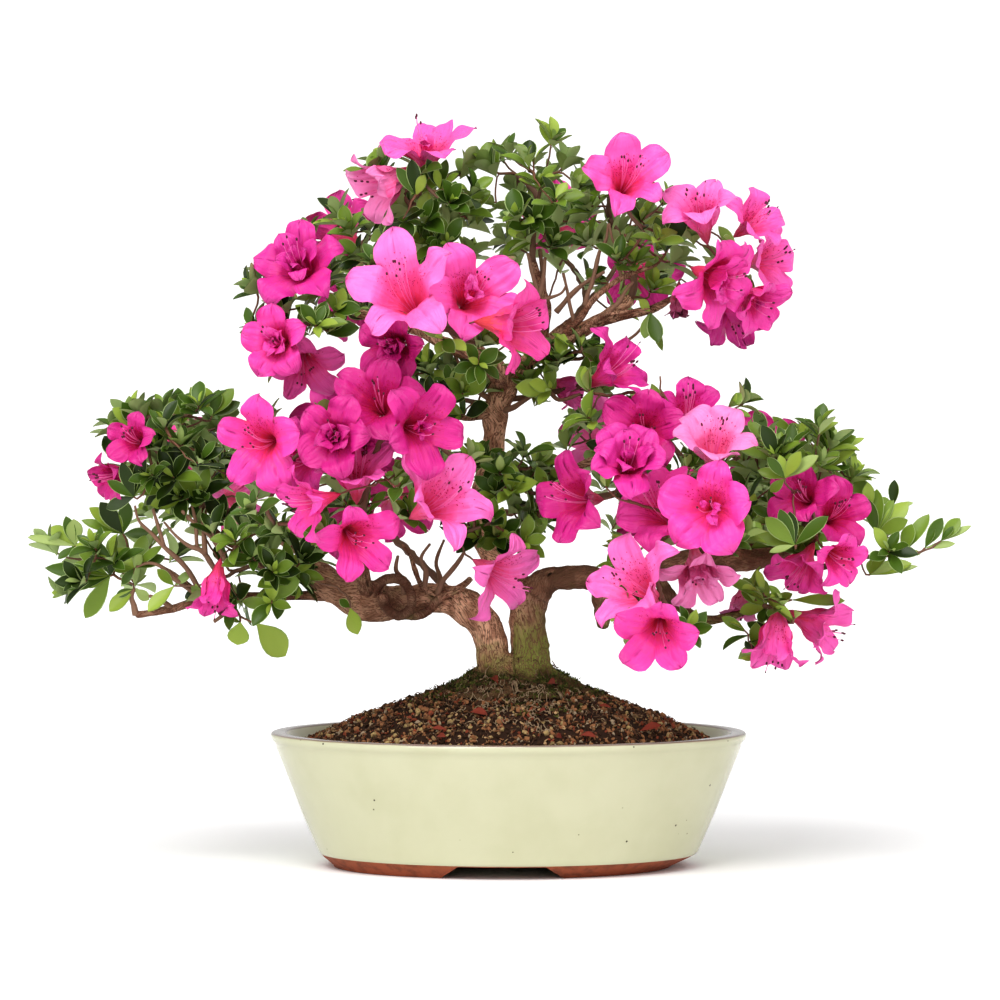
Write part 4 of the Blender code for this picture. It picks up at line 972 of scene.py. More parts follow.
def bark_material(name, light, mid):
    """Fibrous bark with wrinkles and crevices darkened as painted shade, green algae low on it and dark moss
    at its foot.
    """
    made, shader = principled(name, mid, 0.85, 0.15)
    tree = made.node_tree
    streaks = noise(tree, attribute(tree, "fibre", "Vector"), 520.0, 2.0, Roughness=0.6)
    wrinkle = calculated(tree, "ABSOLUTE", calculated(tree, "SUBTRACT", streaks, 0.5))
    cloud = noise(tree, from_node(tree, "TexCoord", "Object"), 110.0, 4.0)
    darker = tuple(0.42 * c for c in mid)

    def covered(colour, name, tint):
        patchy = calculated(tree, "MULTIPLY_ADD", cloud, -1.6, attribute(tree, name, "Fac"))
        cover = calculated(tree, "MULTIPLY", ramp(tree, patchy, -0.75, 0.15), 0.84)
        return mixed_colour(tree, cover, colour, tint)

    colour = mixed_colour(tree, ramp(tree, cloud, 0.40, 0.62), light, mid)
    # Darker where the bark is crusty, and painted shade on the right trunk below the arch and on the limbs
    # far to the left
    colour = mixed_colour(tree, attribute(tree, "crust_and_shade", "Fac"), colour, darker)
    colour = covered(colour, "algae", BARK_ALGAE)
    # Painted shade: the fine grooves of the bump, then the deepest crevices of the carved relief, are
    # darkened
    colour = mixed_colour(tree, ramp(tree, wrinkle, 0.060, 0.004), colour, darker)
    colour = mixed_colour(tree, ramp(tree, attribute(tree, "relief", "Fac"), 0.26, 0.02), colour, BARK_CREVICE_SHADE)
    colour = covered(colour, "wet", BARK_WET)
    tree.links.new(colour, shader.inputs["Base Color"])
    add_relief(tree, shader, wrinkle, 1.0, 4 * MM)
    return made


def oval(half_length, height, centre_x, depth=POT_DEPTH, sides=POT_SIDES, wave=0.0, waves=0):
    """A level ring of points, wavy round its edge where it is asked for."""
    angle = np.arange(sides) * math.tau / sides
    out = half_length * (1 + wave * np.cos(waves * angle + 0.6))
    return np.stack((
        centre_x + out * np.cos(angle), out * depth * np.sin(angle), np.full(sides, height),
    ), axis=1)


def stack(name, rings):
    """An object with a closed skin over rings of equal count."""
    count = len(rings[0])
    faces = [tuple(face) for face in grid_faces(len(rings), count, True).tolist()]
    faces.append(tuple(reversed(range(count))))
    faces.append(tuple(range((len(rings) - 1) * count, len(rings) * count)))
    mesh = bpy.data.meshes.new(name)
    mesh.from_pydata([tuple(p) for ring in rings for p in ring.tolist()], [], faces)
    return in_scene(name, mesh)


def with_modifiers(made):
    """The object's mesh with its modifiers applied, the object itself removed."""
    graph = bpy.context.evaluated_depsgraph_get()
    mesh = bpy.data.meshes.new_from_object(made.evaluated_get(graph))
    bpy.data.objects.remove(made)
    return mesh


def make_pot():
    """The pot of the solids with more sides and a rounder rim, its clay foot as its own piece."""
    foot_x = POT_X + FOOT_SHIFT
    whole = stack("pot_whole", [
        oval(half * MM, z * MM, POT_X + FOOT_SHIFT * max(0, 1 - z * MM / GLAZE_FROM))
        for half, z in POT_PROFILE
    ])
    cutters = [
        stack("pot_hollow", [oval(half * MM, z * MM, foot_x) for half, z in FOOT_HOLLOW]),
        stack("pot_notch", [
            np.array([(foot_x + x * MM, y, z * MM) for x, z in FOOT_NOTCH]) for y in (150 * MM, -150 * MM)
        ]),
    ]
    for side in (-1, 1):
        cutters.append(stack("pot_drain", [
            oval(DRAIN_RADIUS, z, POT_X + side * DRAIN_X, depth=1, sides=32) for z in DRAIN_ENDS
        ]))
    for cutter in cutters:
        cut = whole.modifiers.new("cut", "BOOLEAN")
        cut.operation = "DIFFERENCE"
        cut.object = cutter
    whole = with_modifiers(whole)
    for cutter in cutters:
        bpy.data.objects.remove(cutter)
    for name, material, low in (("pot_foot", clay_material(), True), ("pot_glazed", glaze_material(), False)):
        work = bmesh.new()
        work.from_mesh(whole)
        spare = [f for f in work.faces if (f.calc_center_median().z < GLAZE_FROM - 0.05 * MM) != low]
        bmesh.ops.delete(work, geom=spare, context="FACES")
        mesh = bpy.data.meshes.new(name)
        work.to_mesh(mesh)
        work.free()
        mesh.shade_smooth()
        mesh.set_sharp_from_angle(angle=POT_EDGE)
        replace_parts(place(name, mesh, material), "pot")


def soil_height(x, y):
    """Height of the mound at a place."""
    halves, heights = np.array(SOIL_RINGS)[::-1].T * MM
    out = np.hypot(x - POT_X, y / POT_DEPTH)
    for _ in range(2):
        middle = FLARE_X + (POT_X - FLARE_X) * np.clip(out / halves[-1], 0, 1)
        out = np.hypot(x - middle, y / POT_DEPTH)
    flat = np.stack((x, y, np.zeros_like(x)), axis=-1).reshape(-1, 3)
    lumps = lattice_noise(flat, 14 * MM, 3) * 1.1 * MM + lattice_noise(flat, 5 * MM, 4) * 0.5 * MM
    inner = np.clip(1.3 - out / halves[-1], 0, 1)
    return np.interp(out, halves, heights) + lumps.reshape(np.shape(x)) * inner


def ball():
    """Points and triangles of a coarse ball with a radius of 1."""
    work = bmesh.new()
    bmesh.ops.create_icosphere(work, subdivisions=1, radius=1)
    points = np.array([tuple(v.co) for v in work.verts])
    faces = np.array([[v.index for v in f.verts] for f in work.faces])
    work.free()
    return points, faces


def rough_balls(centres, radii, flat, rng):
    """Lumpy grains: a ball's points moved in and out, flattened and turned at random."""
    points, faces = ball()
    count = len(centres)
    jitter = rng.uniform(0.66, 1.25, (count, len(points), 1))
    squash = rng.uniform(0.65, 1.2, (count, 1, 3)) * np.array((1, 1, flat))
    turned = np.linalg.qr(rng.normal(size=(count, 3, 3)))[0]
    shape = np.einsum("nij,nvj->nvi", turned, points[None] * jitter * squash)
    offsets = np.arange(count)[:, None, None] * len(points)
    return centres[:, None, :] + shape * radii[:, None, None], (faces[None] + offsets).reshape(-1, 3)


def make_soil():
    """The mound, and grains of every kind strewn over it."""
    rng = np.random.default_rng(SEED)
    bed = plain_piece("soil_bed", "soil", SOIL_BED, 1.0, 1.5 * MM, 0.8 * MM, 0.2)
    out = np.linspace(0, 1, BED_RINGS)[:, None] * ((SOIL_RINGS[0][0] + 1.2) * MM)
    angle = np.arange(BED_SIDES)[None, :] * math.tau / BED_SIDES
    x = POT_X + out * np.cos(angle)
    y = out * POT_DEPTH * np.sin(angle)
    bed.add(np.stack((x, y, soil_height(x, y)), axis=-1), grid_faces(BED_RINGS, BED_SIDES, True))
    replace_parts(bed.build(), "soil")
    for name, colour, count, small, large, flat, inner in GRAIN_KINDS:
        radii = rng.uniform(small, large, count) * MM
        share = np.sqrt(rng.uniform(inner ** 2, 0.985, count))
        turn = rng.uniform(0, math.tau, count)
        if name == "tan":
            together = rng.uniform(size=count) < TAN_TOGETHER
            turn = np.where(together, rng.normal(TAN_TURN, TAN_SPREAD, count), turn)
        x = POT_X + share * SOIL_RINGS[0][0] * MM * np.cos(turn)
        y = share * SOIL_RINGS[0][0] * MM * POT_DEPTH * np.sin(turn)
        z = soil_height(x, y) + radii * rng.uniform(-0.2, 0.7, count)
        piece = plain_piece("grains_" + name, "soil", colour, 0.95, 0.8 * MM, 0.3 * MM, 0.3)
        piece.add(*rough_balls(np.stack((x, y, z), axis=1), radii, flat, rng))
        piece.build().data.shade_flat()


def ground_height(x, y, bark_tree):
    """Height of what shows at a place: the root flare, or the soil beside it."""
    soil = soil_height(np.array([x]), np.array([y]))[0]
    hit = bark_tree.ray_cast(Vector((x, y, LITTER_FROM)), Vector((0, 0, -1)), 30 * MM)[0]
    return soil if hit is None else max(soil, hit.z)


def dress_ground(bark):
    """Moss, fine roots, fibres, crumbs and fallen leaves on the soil and on the root flare."""
    rng = np.random.default_rng(SEED + 1)
    tree = BVHTree.FromPolygons([v.co for v in bark.vertices], [p.vertices for p in bark.polygons])
    make_moss(tree, rng)
    make_roots(tree, rng)
    make_fibres(tree, rng)
    make_crumbs(tree, rng)
    drop_leaves(tree, rng)


def make_moss(bark_tree, rng):
    """Tufts of moss on and round the root flare, each a bunch of fine blades in one of two greens."""
    pieces = [
        plain_piece("moss_" + name, "soil", colour, 0.9, 0.8 * MM, 0.2 * MM, 0.2)
        for name, colour in MOSS_GREENS.items()
    ]
    for _ in range(MOSS_TUFTS):
        turn = rng.uniform(0, math.tau)
        out = (MOSS_FROM + MOSS_OVER * rng.beta(1.3, 1.9)) * MM
        x, y = FLARE_X + out * math.cos(turn), out * LITTER_DEPTH * math.sin(turn)
        if lattice_noise(np.array([[x, y, 0]]), 11 * MM, 8)[0] < -0.12 - 0.3 * (out < MOSS_FULL):
            continue
        z = ground_height(x, y, bark_tree)
        if z > MOSS_TOP:
            continue
        base = np.array((x, y, z)) + rng.normal(0, 1, (MOSS_BLADES, 3)) * np.array((1.2, 1.2, 0.3)) * MM
        lean = rng.normal(0, 0.6, (MOSS_BLADES, 3)) + UP
        tips = base + unit(lean) * rng.uniform(0.9, 2.3, (MOSS_BLADES, 1)) * MM
        side = unit(np.cross(lean, rng.normal(size=(MOSS_BLADES, 3)))) * 0.38 * MM
        points = np.stack((base - side, base + side, tips), axis=1)
        pieces[int(rng.uniform() < 0.3)].add(points, np.arange(MOSS_BLADES * 3).reshape(-1, 3))
    for piece in pieces:
        piece.build()


def wander(start, way, steps, bend, stride, rng, bark_tree, lift):
    """A crooked path over the ground that turns one way."""
    path = []
    for _ in range(steps):
        way += rng.normal(bend, 0.45)
        start = start + np.array((math.cos(way), math.sin(way))) * stride
        path.append((*start, ground_height(*start, bark_tree) + rng.uniform(*lift) * MM))
    return np.array(path)


def make_roots(bark_tree, rng):
    """Fine pale roots at the trunk's foot."""
    roots = plain_piece("fine_roots", "young_bark", FINE_ROOT, 0.85, 1 * MM, 0.1 * MM, 0.3)
    for _ in range(FINE_ROOTS):
        turn = rng.normal(ROOTS_TURN, ROOTS_SPREAD)
        out = rng.uniform(*ROOTS_OUT) * MM
        start = np.array((FLARE_X + out * math.cos(turn), out * LITTER_DEPTH * math.sin(turn)))
        bend = rng.choice((-1, 1)) * rng.uniform(0.2, 0.75)
        size = rng.uniform(0.28, 0.55)
        way, steps = rng.uniform(0, math.tau), rng.integers(5, 9)
        path = wander(start, way, steps, bend, 1.1 * MM, rng, bark_tree, (0.6, 2.6))
        roots.add(*tube(path, np.linspace(size, 0.4 * size, len(path)) * MM, 4))
    roots.build()


def make_fibres(bark_tree, rng):
    """Short fibres all over the soil."""
    fibres = plain_piece("soil_fibres", "soil", FIBRE, 0.9, 1 * MM, 0.1 * MM, 0.3)
    half = SOIL_RINGS[0][0] * MM
    for _ in range(FIBRES):
        turn, share = rng.uniform(0, math.tau), math.sqrt(rng.uniform(0.02, 0.9))
        start = np.array((POT_X + share * half * math.cos(turn), share * half * POT_DEPTH * math.sin(turn)))
        path = wander(start, rng.uniform(0, math.tau), 4, 0.0, 1.5 * MM, rng, bark_tree, (0.8, 3.0))
        fibres.add(*tube(path, np.array((0.28, 0.34, 0.28, 0.15)) * MM, 3))
    fibres.build()


def make_crumbs(bark_tree, rng):
    """Crumbs of soil on the root flare."""
    crumbs = [
        plain_piece("crumbs_" + name, "soil", colour, 0.95, 0.8 * MM, 0.3 * MM, 0.2)
        for name, colour in CRUMBS.items()
    ]
    turn = rng.uniform(0, math.tau, FLARE_CRUMBS)
    out = rng.uniform(*CRUMBS_OUT, FLARE_CRUMBS) * MM
    radii = rng.uniform(*CRUMB_RADII, FLARE_CRUMBS) * MM
    kind = rng.integers(0, len(crumbs), FLARE_CRUMBS)
    centres = np.stack((FLARE_X + out * np.cos(turn), out * LITTER_DEPTH * np.sin(turn), out), axis=1)
    for centre in centres:
        centre[2] = ground_height(centre[0], centre[1], bark_tree)
    low = centres[:, 2] < CRUMBS_TOP
    for number, piece in enumerate(crumbs):
        chosen = (kind == number) & low
        piece.add(*rough_balls(centres[chosen], radii[chosen], 0.6, rng))
        piece.build().data.shade_flat()


def drop_leaves(bark_tree, rng):
    """A few fallen leaves where the photograph shows them."""
    fallen = plain_piece("fallen_leaves", "leaves", FALLEN_LEAF, 0.85)
    leaves = LeafSpecs()
    for spot in FALLEN_LEAVES:
        at = seen(*spot)
        turn = rng.uniform(0, math.tau)
        way = np.array((math.cos(turn), math.sin(turn), rng.uniform(0.0, 0.6)))
        foot = (at[0], at[1], ground_height(at[0], at[1], bark_tree) + 2.2 * MM)
        length = rng.uniform(7, 15) * MM
        upper = (rng.uniform(-0.4, 0.4), -0.8, 0.7)
        wide, droop, fold = (rng.uniform(*limits) for limits in ((0.3, 0.5), (0.1, 0.3), (0.3, 1.2)))
        leaves.add(foot, way, upper, length, wide, droop, fold, "fallen")
    fallen.add(*leaves.mesh(np.arange(len(FALLEN_LEAVES)), 1, 0))
    fallen.build()


def limb_paths():
    """Every limb's path and radii, by name."""
    paths = {name: smooth_path(stations, 5) for name, stations in FEET.items()}
    for name, before, _, stations in LIMBS:
        first = (paths[before][0][-1], paths[before][1][-1]) if before else None
        paths[name] = smooth_path(stations, 6, first)
    return paths


def remeshed(shape, voxel):
    """One skin round overlapping closed shapes."""
    made = in_scene("skin", shape.mesh("skin"))
    remesh = made.modifiers.new("skin", "REMESH")
    remesh.mode = "VOXEL"
    remesh.voxel_size = voxel
    relax = made.modifiers.new("relax", "SMOOTH")
    relax.factor = 0.5
    relax.iterations = 6
    return with_modifiers(made)


def coordinates(mesh):
    """A mesh's points and the normals there."""
    points, normals = np.empty(len(mesh.vertices) * 3), np.empty(len(mesh.vertices) * 3)
    mesh.vertices.foreach_get("co", points)
    mesh.vertex_normals.foreach_get("vector", normals)
    return points.reshape(-1, 3), normals.reshape(-1, 3)


def limb_samples(paths):
    """Points close together along limbs, with their direction and how far along the wood they are.

    A limb that goes on from another's end counts on from there, so that the bark does too.
    """
    samples, ends = [], []
    for number, (path, _) in enumerate(paths):
        ways = unit(np.gradient(path, axis=0))
        along = np.concatenate(([0], np.cumsum(np.linalg.norm(np.diff(path, axis=0), axis=1))))
        before = [gone for end, gone in ends if np.linalg.norm(end - path[0]) < 0.1 * MM]
        begin = before[0] if before else 0.013 * number
        ends.append((path[-1], begin + along[-1]))
        fine = np.arange(0, along[-1], BARK_SAMPLE)
        read = [np.interp(fine, along, values) for values in (*path.T, *ways.T)]
        samples.append(np.stack((*read, fine + begin), axis=1))
    samples = np.concatenate(samples)
    return samples[:, :3], unit(samples[:, 3:6]), samples[:, 6]


def carve_bark(mesh, paths, depth):
    """Moves a skin in and out by a net of ridges that runs along the nearest limb, and notes its cover and
    its painted shade.
    """
    centres, ways, gone = limb_samples(paths)
    tree = KDTree(len(centres))
    for i, centre in enumerate(centres):
        tree.insert(Vector(centre), i)
    tree.balance()
    points, normals = coordinates(mesh)
    nearest = np.array([tree.find(Vector(p))[1] for p in points])
    away, ways = points - centres[nearest], ways[nearest]
    along = np.sum(away * ways, axis=1)
    across = away - ways * along[:, None]
    fibre = across + ways * ((gone[nearest] + along) * FIBRE_STRETCH)[:, None]
    net = 1 - 2.4 * np.abs(lattice_noise(fibre, 3.0 * MM, 1))
    net = 0.7 * net + 0.3 * (1 - 2.4 * np.abs(lattice_noise(fibre, 1.9 * MM, 2)))
    x, z = points[:, 0], points[:, 2]
    # Painted shade: the right trunk below the arch and the limbs far to the left are darkened in colour as if
    # in shade
    shaded = risen(x, 8 * MM, 10 * MM) * (z < ARCH_TOP) + 0.8 * risen(-x, 36 * MM, 20 * MM)
    crusty = risen(x, 22 * MM, 8 * MM) * (z < ARCH_TOP)
    knobs = lattice_noise(points, 3.4 * MM, 6) * crusty
    height = 0.65 * net + 0.9 * lattice_noise(points, 8 * MM, 5) + 1.1 * knobs
    moved = points + normals * (height * depth)[:, None]
    mesh.vertices.foreach_set("co", moved.ravel())
    high = moved[:, 2] + 3 * MM * lattice_noise(points, 6 * MM, 7)
    top = np.where(moved[:, 0] < 8 * MM, ALGAE_TOPS[0], ALGAE_TOPS[1])
    band = risen(top - high, 0, ALGAE_FADE) * risen(high, ALGAE_FROM, 6 * MM)
    values = {
        "relief": np.clip(0.5 + 0.5 * net, 0, 1),
        "algae": np.clip(band + 0.30 * band * net, 0, 1),
        "wet": risen(WET_TOP - high, 0, 9 * MM),
        # The painted shade, with the real crusty bark of the right trunk on top of it
        "crust_and_shade": np.clip(0.60 * shaded + crusty * (0.30 + 0.5 * lattice_noise(points, 4 * MM, 9)), 0, 1),
    }
    for name, value in values.items():
        mesh.attributes.new(name, "FLOAT", "POINT").data.foreach_set("value", value)
    mesh.attributes.new("fibre", "FLOAT_VECTOR", "POINT").data.foreach_set("vector", fibre.ravel())
    mesh.update()


def root_flare():
    """The flare that both trunks stand on, with its surface roots."""
    flare = Shape()
    bottom = SOIL_TOP + 0.3 * MM
    rings = [
        oval(half * MM, bottom + height * MM, FLARE_X, FLARE_DEPTH, FLARE_SIDES,
             FLARE_WAVE * (1 - level / len(FLARE_RINGS)), FLARE_ROOTS)
        for level, (half, height) in enumerate(FLARE_RINGS)
    ]
    ends = [(FLARE_X, 0, bottom), (FLARE_X, 0, bottom + FLARE_RINGS[-1][1] * MM)]
    flare.add(np.concatenate((*rings, ends)), closed_faces(len(rings), FLARE_SIDES))
    out, high, radii = np.array(ROOT_STATIONS).T
    for i in range(ROOT_RIDGES):
        turn = (i + 0.35) * math.tau / ROOT_RIDGES
        bend = turn + 0.28 * np.sin(out * MM / (14 * MM) + 1.7 * i)
        path = np.stack((
            FLARE_X + out * MM * np.cos(bend), out * MM * FLARE_DEPTH * np.sin(bend), high * MM + bottom,
        ), axis=1)
        flare.add(*tube(path, radii * (0.75 + 0.35 * (i % 3 == 1)) * MM, 10))
    return flare


def barked(name, shape, paths, sides, lumps, voxel, depth, colours):
    """A piece with one barked skin round a shape and the wood along these paths."""
    for path, radii in paths:
        shape.add(*tube(path, radii, sides, lumps, shape.count % 89))
    skin = remeshed(shape, voxel)
    carve_bark(skin, paths, depth)
    skin.shade_smooth()
    return place(name, skin, bark_material(name, *colours))


def make_bark(paths):
    """The trunks and thick boughs as one barked skin, the thinner boughs as another, and bare shoots."""
    thick = [name for name, _, is_thick, _ in LIMBS if is_thick]
    thin = [name for name, _, is_thick, _ in LIMBS if not is_thick]
    trunks = barked("trunks_and_boughs", root_flare(), [paths[name] for name in (*FEET, *thick)],
                    16, 0.10, BARK_VOXEL, BARK_RELIEF, (BARK_LIGHT, BARK_MID))
    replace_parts(trunks, "trunk_base", *thick)
    knotty = [smooth_path(stations, 5) for stations in SHOOTS if stations[0][3] > KNOTTY]
    boughs = barked("boughs", Shape(), [paths[name] for name in thin] + knotty,
                    9, 0.16, BOUGH_VOXEL, BOUGH_RELIEF, (BOUGH_LIGHT, BOUGH_MID))
    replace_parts(boughs, *thin)
    bare = plain_piece("bare_shoots", "young_bark", SHOOT_BARK, 0.8, 0.9 * MM, 0.4 * MM, 0.3)
    for stations in SHOOTS:
        if stations[0][3] <= KNOTTY:
            bare.add(*tube(*smooth_path(stations, 5), 7, 0.25, stations[0][0]))
    bare.build()
    dress_ground(trunks.data)


class Petal:
    """A lobe of a bloom. A point on it is found by its share of the way out and its side, -1 to 1."""

    def __init__(self, bloom, angle, size, wide, stand, rng):
        self.bloom = bloom
        self.out = bloom.up * math.cos(angle) + bloom.side * math.sin(angle)
        self.along_side = bloom.side * math.cos(angle) - bloom.up * math.sin(angle)
        self.size = size
        self.longer = rng.uniform(0.90, 1.07)
        self.wide = wide * rng.uniform(0.88, 1.14)
        self.stand = math.radians(stand)
        self.lean = math.radians(rng.uniform(-9, 9))
        self.sag = rng.uniform(-0.22, 0.30)
        self.lap = rng.uniform(0.05, 0.14)
        self.ruffle = rng.uniform(0.035, 0.085)
        self.phase = rng.uniform(0, math.tau, 3)
        self.swing = rng.uniform(-0.13, 0.13)
        self.curl = rng.uniform(-0.05, 0.28)
        self.notch = rng.uniform(0, 0.07) * (rng.uniform() < 0.4)

    def points(self, u, v):
        spine, width = np.array(PETAL_SPINE), np.array(PETAL_HALF_WIDTH)
        out = np.interp(u, spine[:, 0], spine[:, 1])
        high = np.interp(u, spine[:, 0], spine[:, 2])
        free = smooth(risen(u, 0.30, 0.22))
        late = smooth(risen(u, 0.44, 0.22))
        joined = risen(0.56 - u, 0, 0.12)
        half = np.interp(u, width[:, 0], width[:, 1]) * (self.wide + (JOINED_WIDTH - self.wide) * joined)
        turn = v * math.pi / PETALS * TUBE_OVERLAP
        blunt = risen(u, 0.86, 0.14)
        x = out - (1 - free) * out * (1 - np.cos(turn)) - blunt * self.notch * np.exp(-(v / 0.4) ** 2)
        x = x + (1 - free) * 0.006 * v
        y = (1 - free) * out * np.sin(turn) + free * v * half + self.swing * np.clip(u - 0.4, 0, 1)
        edge = (0.12 + np.abs(v) ** 1.5) * self.ruffle
        wave = np.where(v > 0, np.sin(15 * u + self.phase[0]), np.sin(16 * u + self.phase[1]))
        folds = 0.007 * np.cos(9 * v + self.phase[2])
        z = high + late * (self.sag * v * v * half + self.lap * v * half + edge * wave + folds)
        curl = self.curl * min(1.0, self.wide + 0.1)
        z = z - free * 0.020 * np.exp(-(v / 0.12) ** 2) - curl * risen(u, 0.68, 0.32) ** 2
        reach, rise = x - PETAL_HINGE[0], z - PETAL_HINGE[1]
        angle = self.stand * risen(u, 0.32, 0.16) + self.lean * late
        cos, sin = np.cos(angle), np.sin(angle)
        beyond = risen(u, 0.32, 0.12)
        x = x + beyond * (reach * cos - rise * sin - reach)
        z = z + beyond * (reach * sin + rise * cos - rise)
        scale = self.bloom.radius * self.size * (1 + (self.longer - 1) * late)[..., None]
        return self.bloom.throat + (
            x[..., None] * self.out + y[..., None] * self.along_side + z[..., None] * self.bloom.axis
        ) * scale

    def normals(self, u, v):
        step = 0.01
        along = self.points(np.clip(u + step, 0, 1), v) - self.points(np.clip(u - step, 0, 1), v)
        aside = self.points(u, v + step) - self.points(u, v - step)
        return unit(np.cross(aside, along))

    def grid(self, steps):
        """Its points and normals, and where the veins' relief is read: fast across and slow along it."""
        u, v = np.meshgrid(np.array(steps), np.linspace(-1, 1, PETAL_COLUMNS), indexing="ij")
        lie = np.stack((v * 5.5, u * 2.2, np.full_like(u, 9 * self.phase[0])), axis=-1)
        return self.points(u, v), self.normals(np.clip(u, 0.01, 0.985), v * 0.98), lie


class Bloom:
    """A flower: its throat, the direction it faces, and its petals."""

    def __init__(self, row, depth_shift, index):
        self.mass, column, line, depth, turn, tilt, radius, self.hue, self.kind, stand, roll, wide = row
        self.radius = radius * MM
        self.axis = facing(turn, tilt)
        self.throat = seen(column, line, depth + depth_shift)
        up = upward_of(self.axis)
        side = np.cross(up, self.axis)
        roll = math.radians(roll)
        self.up = up * math.cos(roll) + side * math.sin(roll)
        self.side = side * math.cos(roll) - up * math.sin(roll)
        self.neck = self.throat - self.axis * BLOOM_NECK * self.radius
        self.rng = rng = np.random.default_rng(SEED * 1000 + index)
        self.petals = []
        for i in range(PETALS):
            angle = i * math.tau / PETALS + rng.uniform(-0.06, 0.06)
            self.petals.append((Petal(self, angle, 1.0, wide, stand, rng), PETAL_STEPS))
        inner = tuple(s for s in PETAL_STEPS if s > 0.3)
        if self.kind == "double":
            for i in range(4):
                angle = (i + rng.uniform(0.2, 0.9)) * math.tau / 4
                size = rng.uniform(0.55, 0.82)
                lift = stand + rng.uniform(20, 34)
                self.petals.append((Petal(self, angle, size, wide * 0.9, lift, rng), inner))
        if self.kind in ("double", "petaloid"):
            smaller, lower = (0.8, 16) if self.kind == "petaloid" else (1, 0)
            for i in range(4):
                angle = rng.uniform(0, math.tau)
                size = rng.uniform(0.30, 0.56) * smaller
                lift = stand + rng.uniform(34, 60) - lower
                self.petals.append((Petal(self, angle, size, 0.66, lift, rng), inner))

    def add_skins(self, shape):
        for petal, steps in self.petals:
            shape.add(petal.grid(steps)[0], grid_faces(len(steps), PETAL_COLUMNS, False))


def place_blooms():
    """Every bloom where the photograph shows it, moved in depth until it is clear of the others."""
    placed = []
    rows = [(mass, *row) for mass, rows in BLOOMS.items() for row in rows]
    for index, row in enumerate(rows):
        best = None
        for shift in BLOOM_SHIFTS:
            bloom = Bloom(row, shift, index)
            skins = Shape()
            bloom.add_skins(skins)
            tree = skins.tree()
            crossed = sum(
                len(tree.overlap(other_tree)) for other, other_tree in placed
                if np.linalg.norm(other.throat - bloom.throat) < BLOOMS_NEAR * (other.radius + bloom.radius)
            )
            if best is None or crossed < best[0]:
                best = (crossed, bloom, tree)
            if crossed == 0:
                break
        placed.append(best[1:])
    return [bloom for bloom, _ in placed]


def dress_blooms(blooms):
    """The petals by colour band, the speckles, stamens and pistils."""
    petals = {}
    for hue, (outer, inner) in HUES.items():
        for band, _, share in PETAL_BANDS:
            # A band with a share below 0 is the rim, tinted towards the painted highlight
            other = inner if share > 0 else RIM_HIGHLIGHT
            colour = tuple(a + (b - a) * abs(share) for a, b in zip(outer, other))
            name = "petals_" + hue + "_" + band
            petals[hue, band] = Piece(name, "blossom", petal_material(name, colour))
    speckles = plain_piece("petal_speckles", "blossom", SPECKLE, 0.6, 1 * MM, 0.05 * MM, 0.2)
    filaments = plain_piece("stamens", "blossom", FILAMENT, 0.5, 1 * MM, 0.05 * MM, 0.3)
    anthers = plain_piece("anthers", "blossom", ANTHER, 0.7, 0.5 * MM, 0.1 * MM, 0.3)
    limits = [limit for _, limit, _ in PETAL_BANDS]
    for bloom in blooms:
        for petal, steps in bloom.petals:
            points, normals, lie = (values.reshape(-1, 3) for values in petal.grid(steps))
            faces = grid_faces(len(steps), PETAL_COLUMNS, False)
            waver = bloom.rng.normal(0, BAND_WAVER, PETAL_COLUMNS - 1)
            middles = (np.array(steps[1:]) + np.array(steps[:-1]))[:, None] / 2 + waver
            bands = np.tile(np.searchsorted(limits, middles).ravel(), 2)
            for number, (band, _, _) in enumerate(PETAL_BANDS):
                if (bands == number).any():
                    used, renumbered = np.unique(faces[bands == number], return_inverse=True)
                    renumbered = renumbered.reshape(-1, 3)
                    petals[bloom.hue, band].add(points[used], renumbered, normals[used], lie[used])
        if bloom.kind != "double":
            add_speckles(bloom, speckles)
        add_stamens(bloom, filaments, anthers)
    for piece in (*petals.values(), speckles, filaments, anthers):
        piece.build()


def add_speckles(bloom, piece):
    """Crimson specks on the upper lobe and the near halves of its neighbours."""
    rng = bloom.rng
    for number, lobe in ((0, 0), (1, 1), (4, -1)):
        petal = bloom.petals[number][0]
        count = SPECKLES[abs(lobe)]
        u = rng.beta(1.3, 2.4, count) * 0.34 + 0.38
        v = rng.uniform(-0.66, 0.66, count) if lobe == 0 else -lobe * rng.uniform(0.05, 0.8, count)
        points, normals = petal.points(u, v), petal.normals(u, v)
        towards = np.sum(normals * bloom.axis, axis=1, keepdims=True)
        normals = normals * np.where(towards < 0, -1, 1)
        along = unit(petal.points(u + 0.02, v) - points)
        aside = np.cross(normals, along)
        size = rng.uniform(0.22, 0.42, (count, 1)) * MM
        lift = points + normals * 0.12 * MM
        quad = np.stack((lift + along * size * 1.5, lift + aside * size * 0.8,
                         lift - along * size * 1.5, lift - aside * size * 0.8), axis=1)
        base = np.arange(count)[:, None] * 4
        faces = np.concatenate((base + np.array((0, 1, 2)), base + np.array((0, 2, 3))))
        piece.add(quad, faces, np.repeat(normals, 4, axis=0))


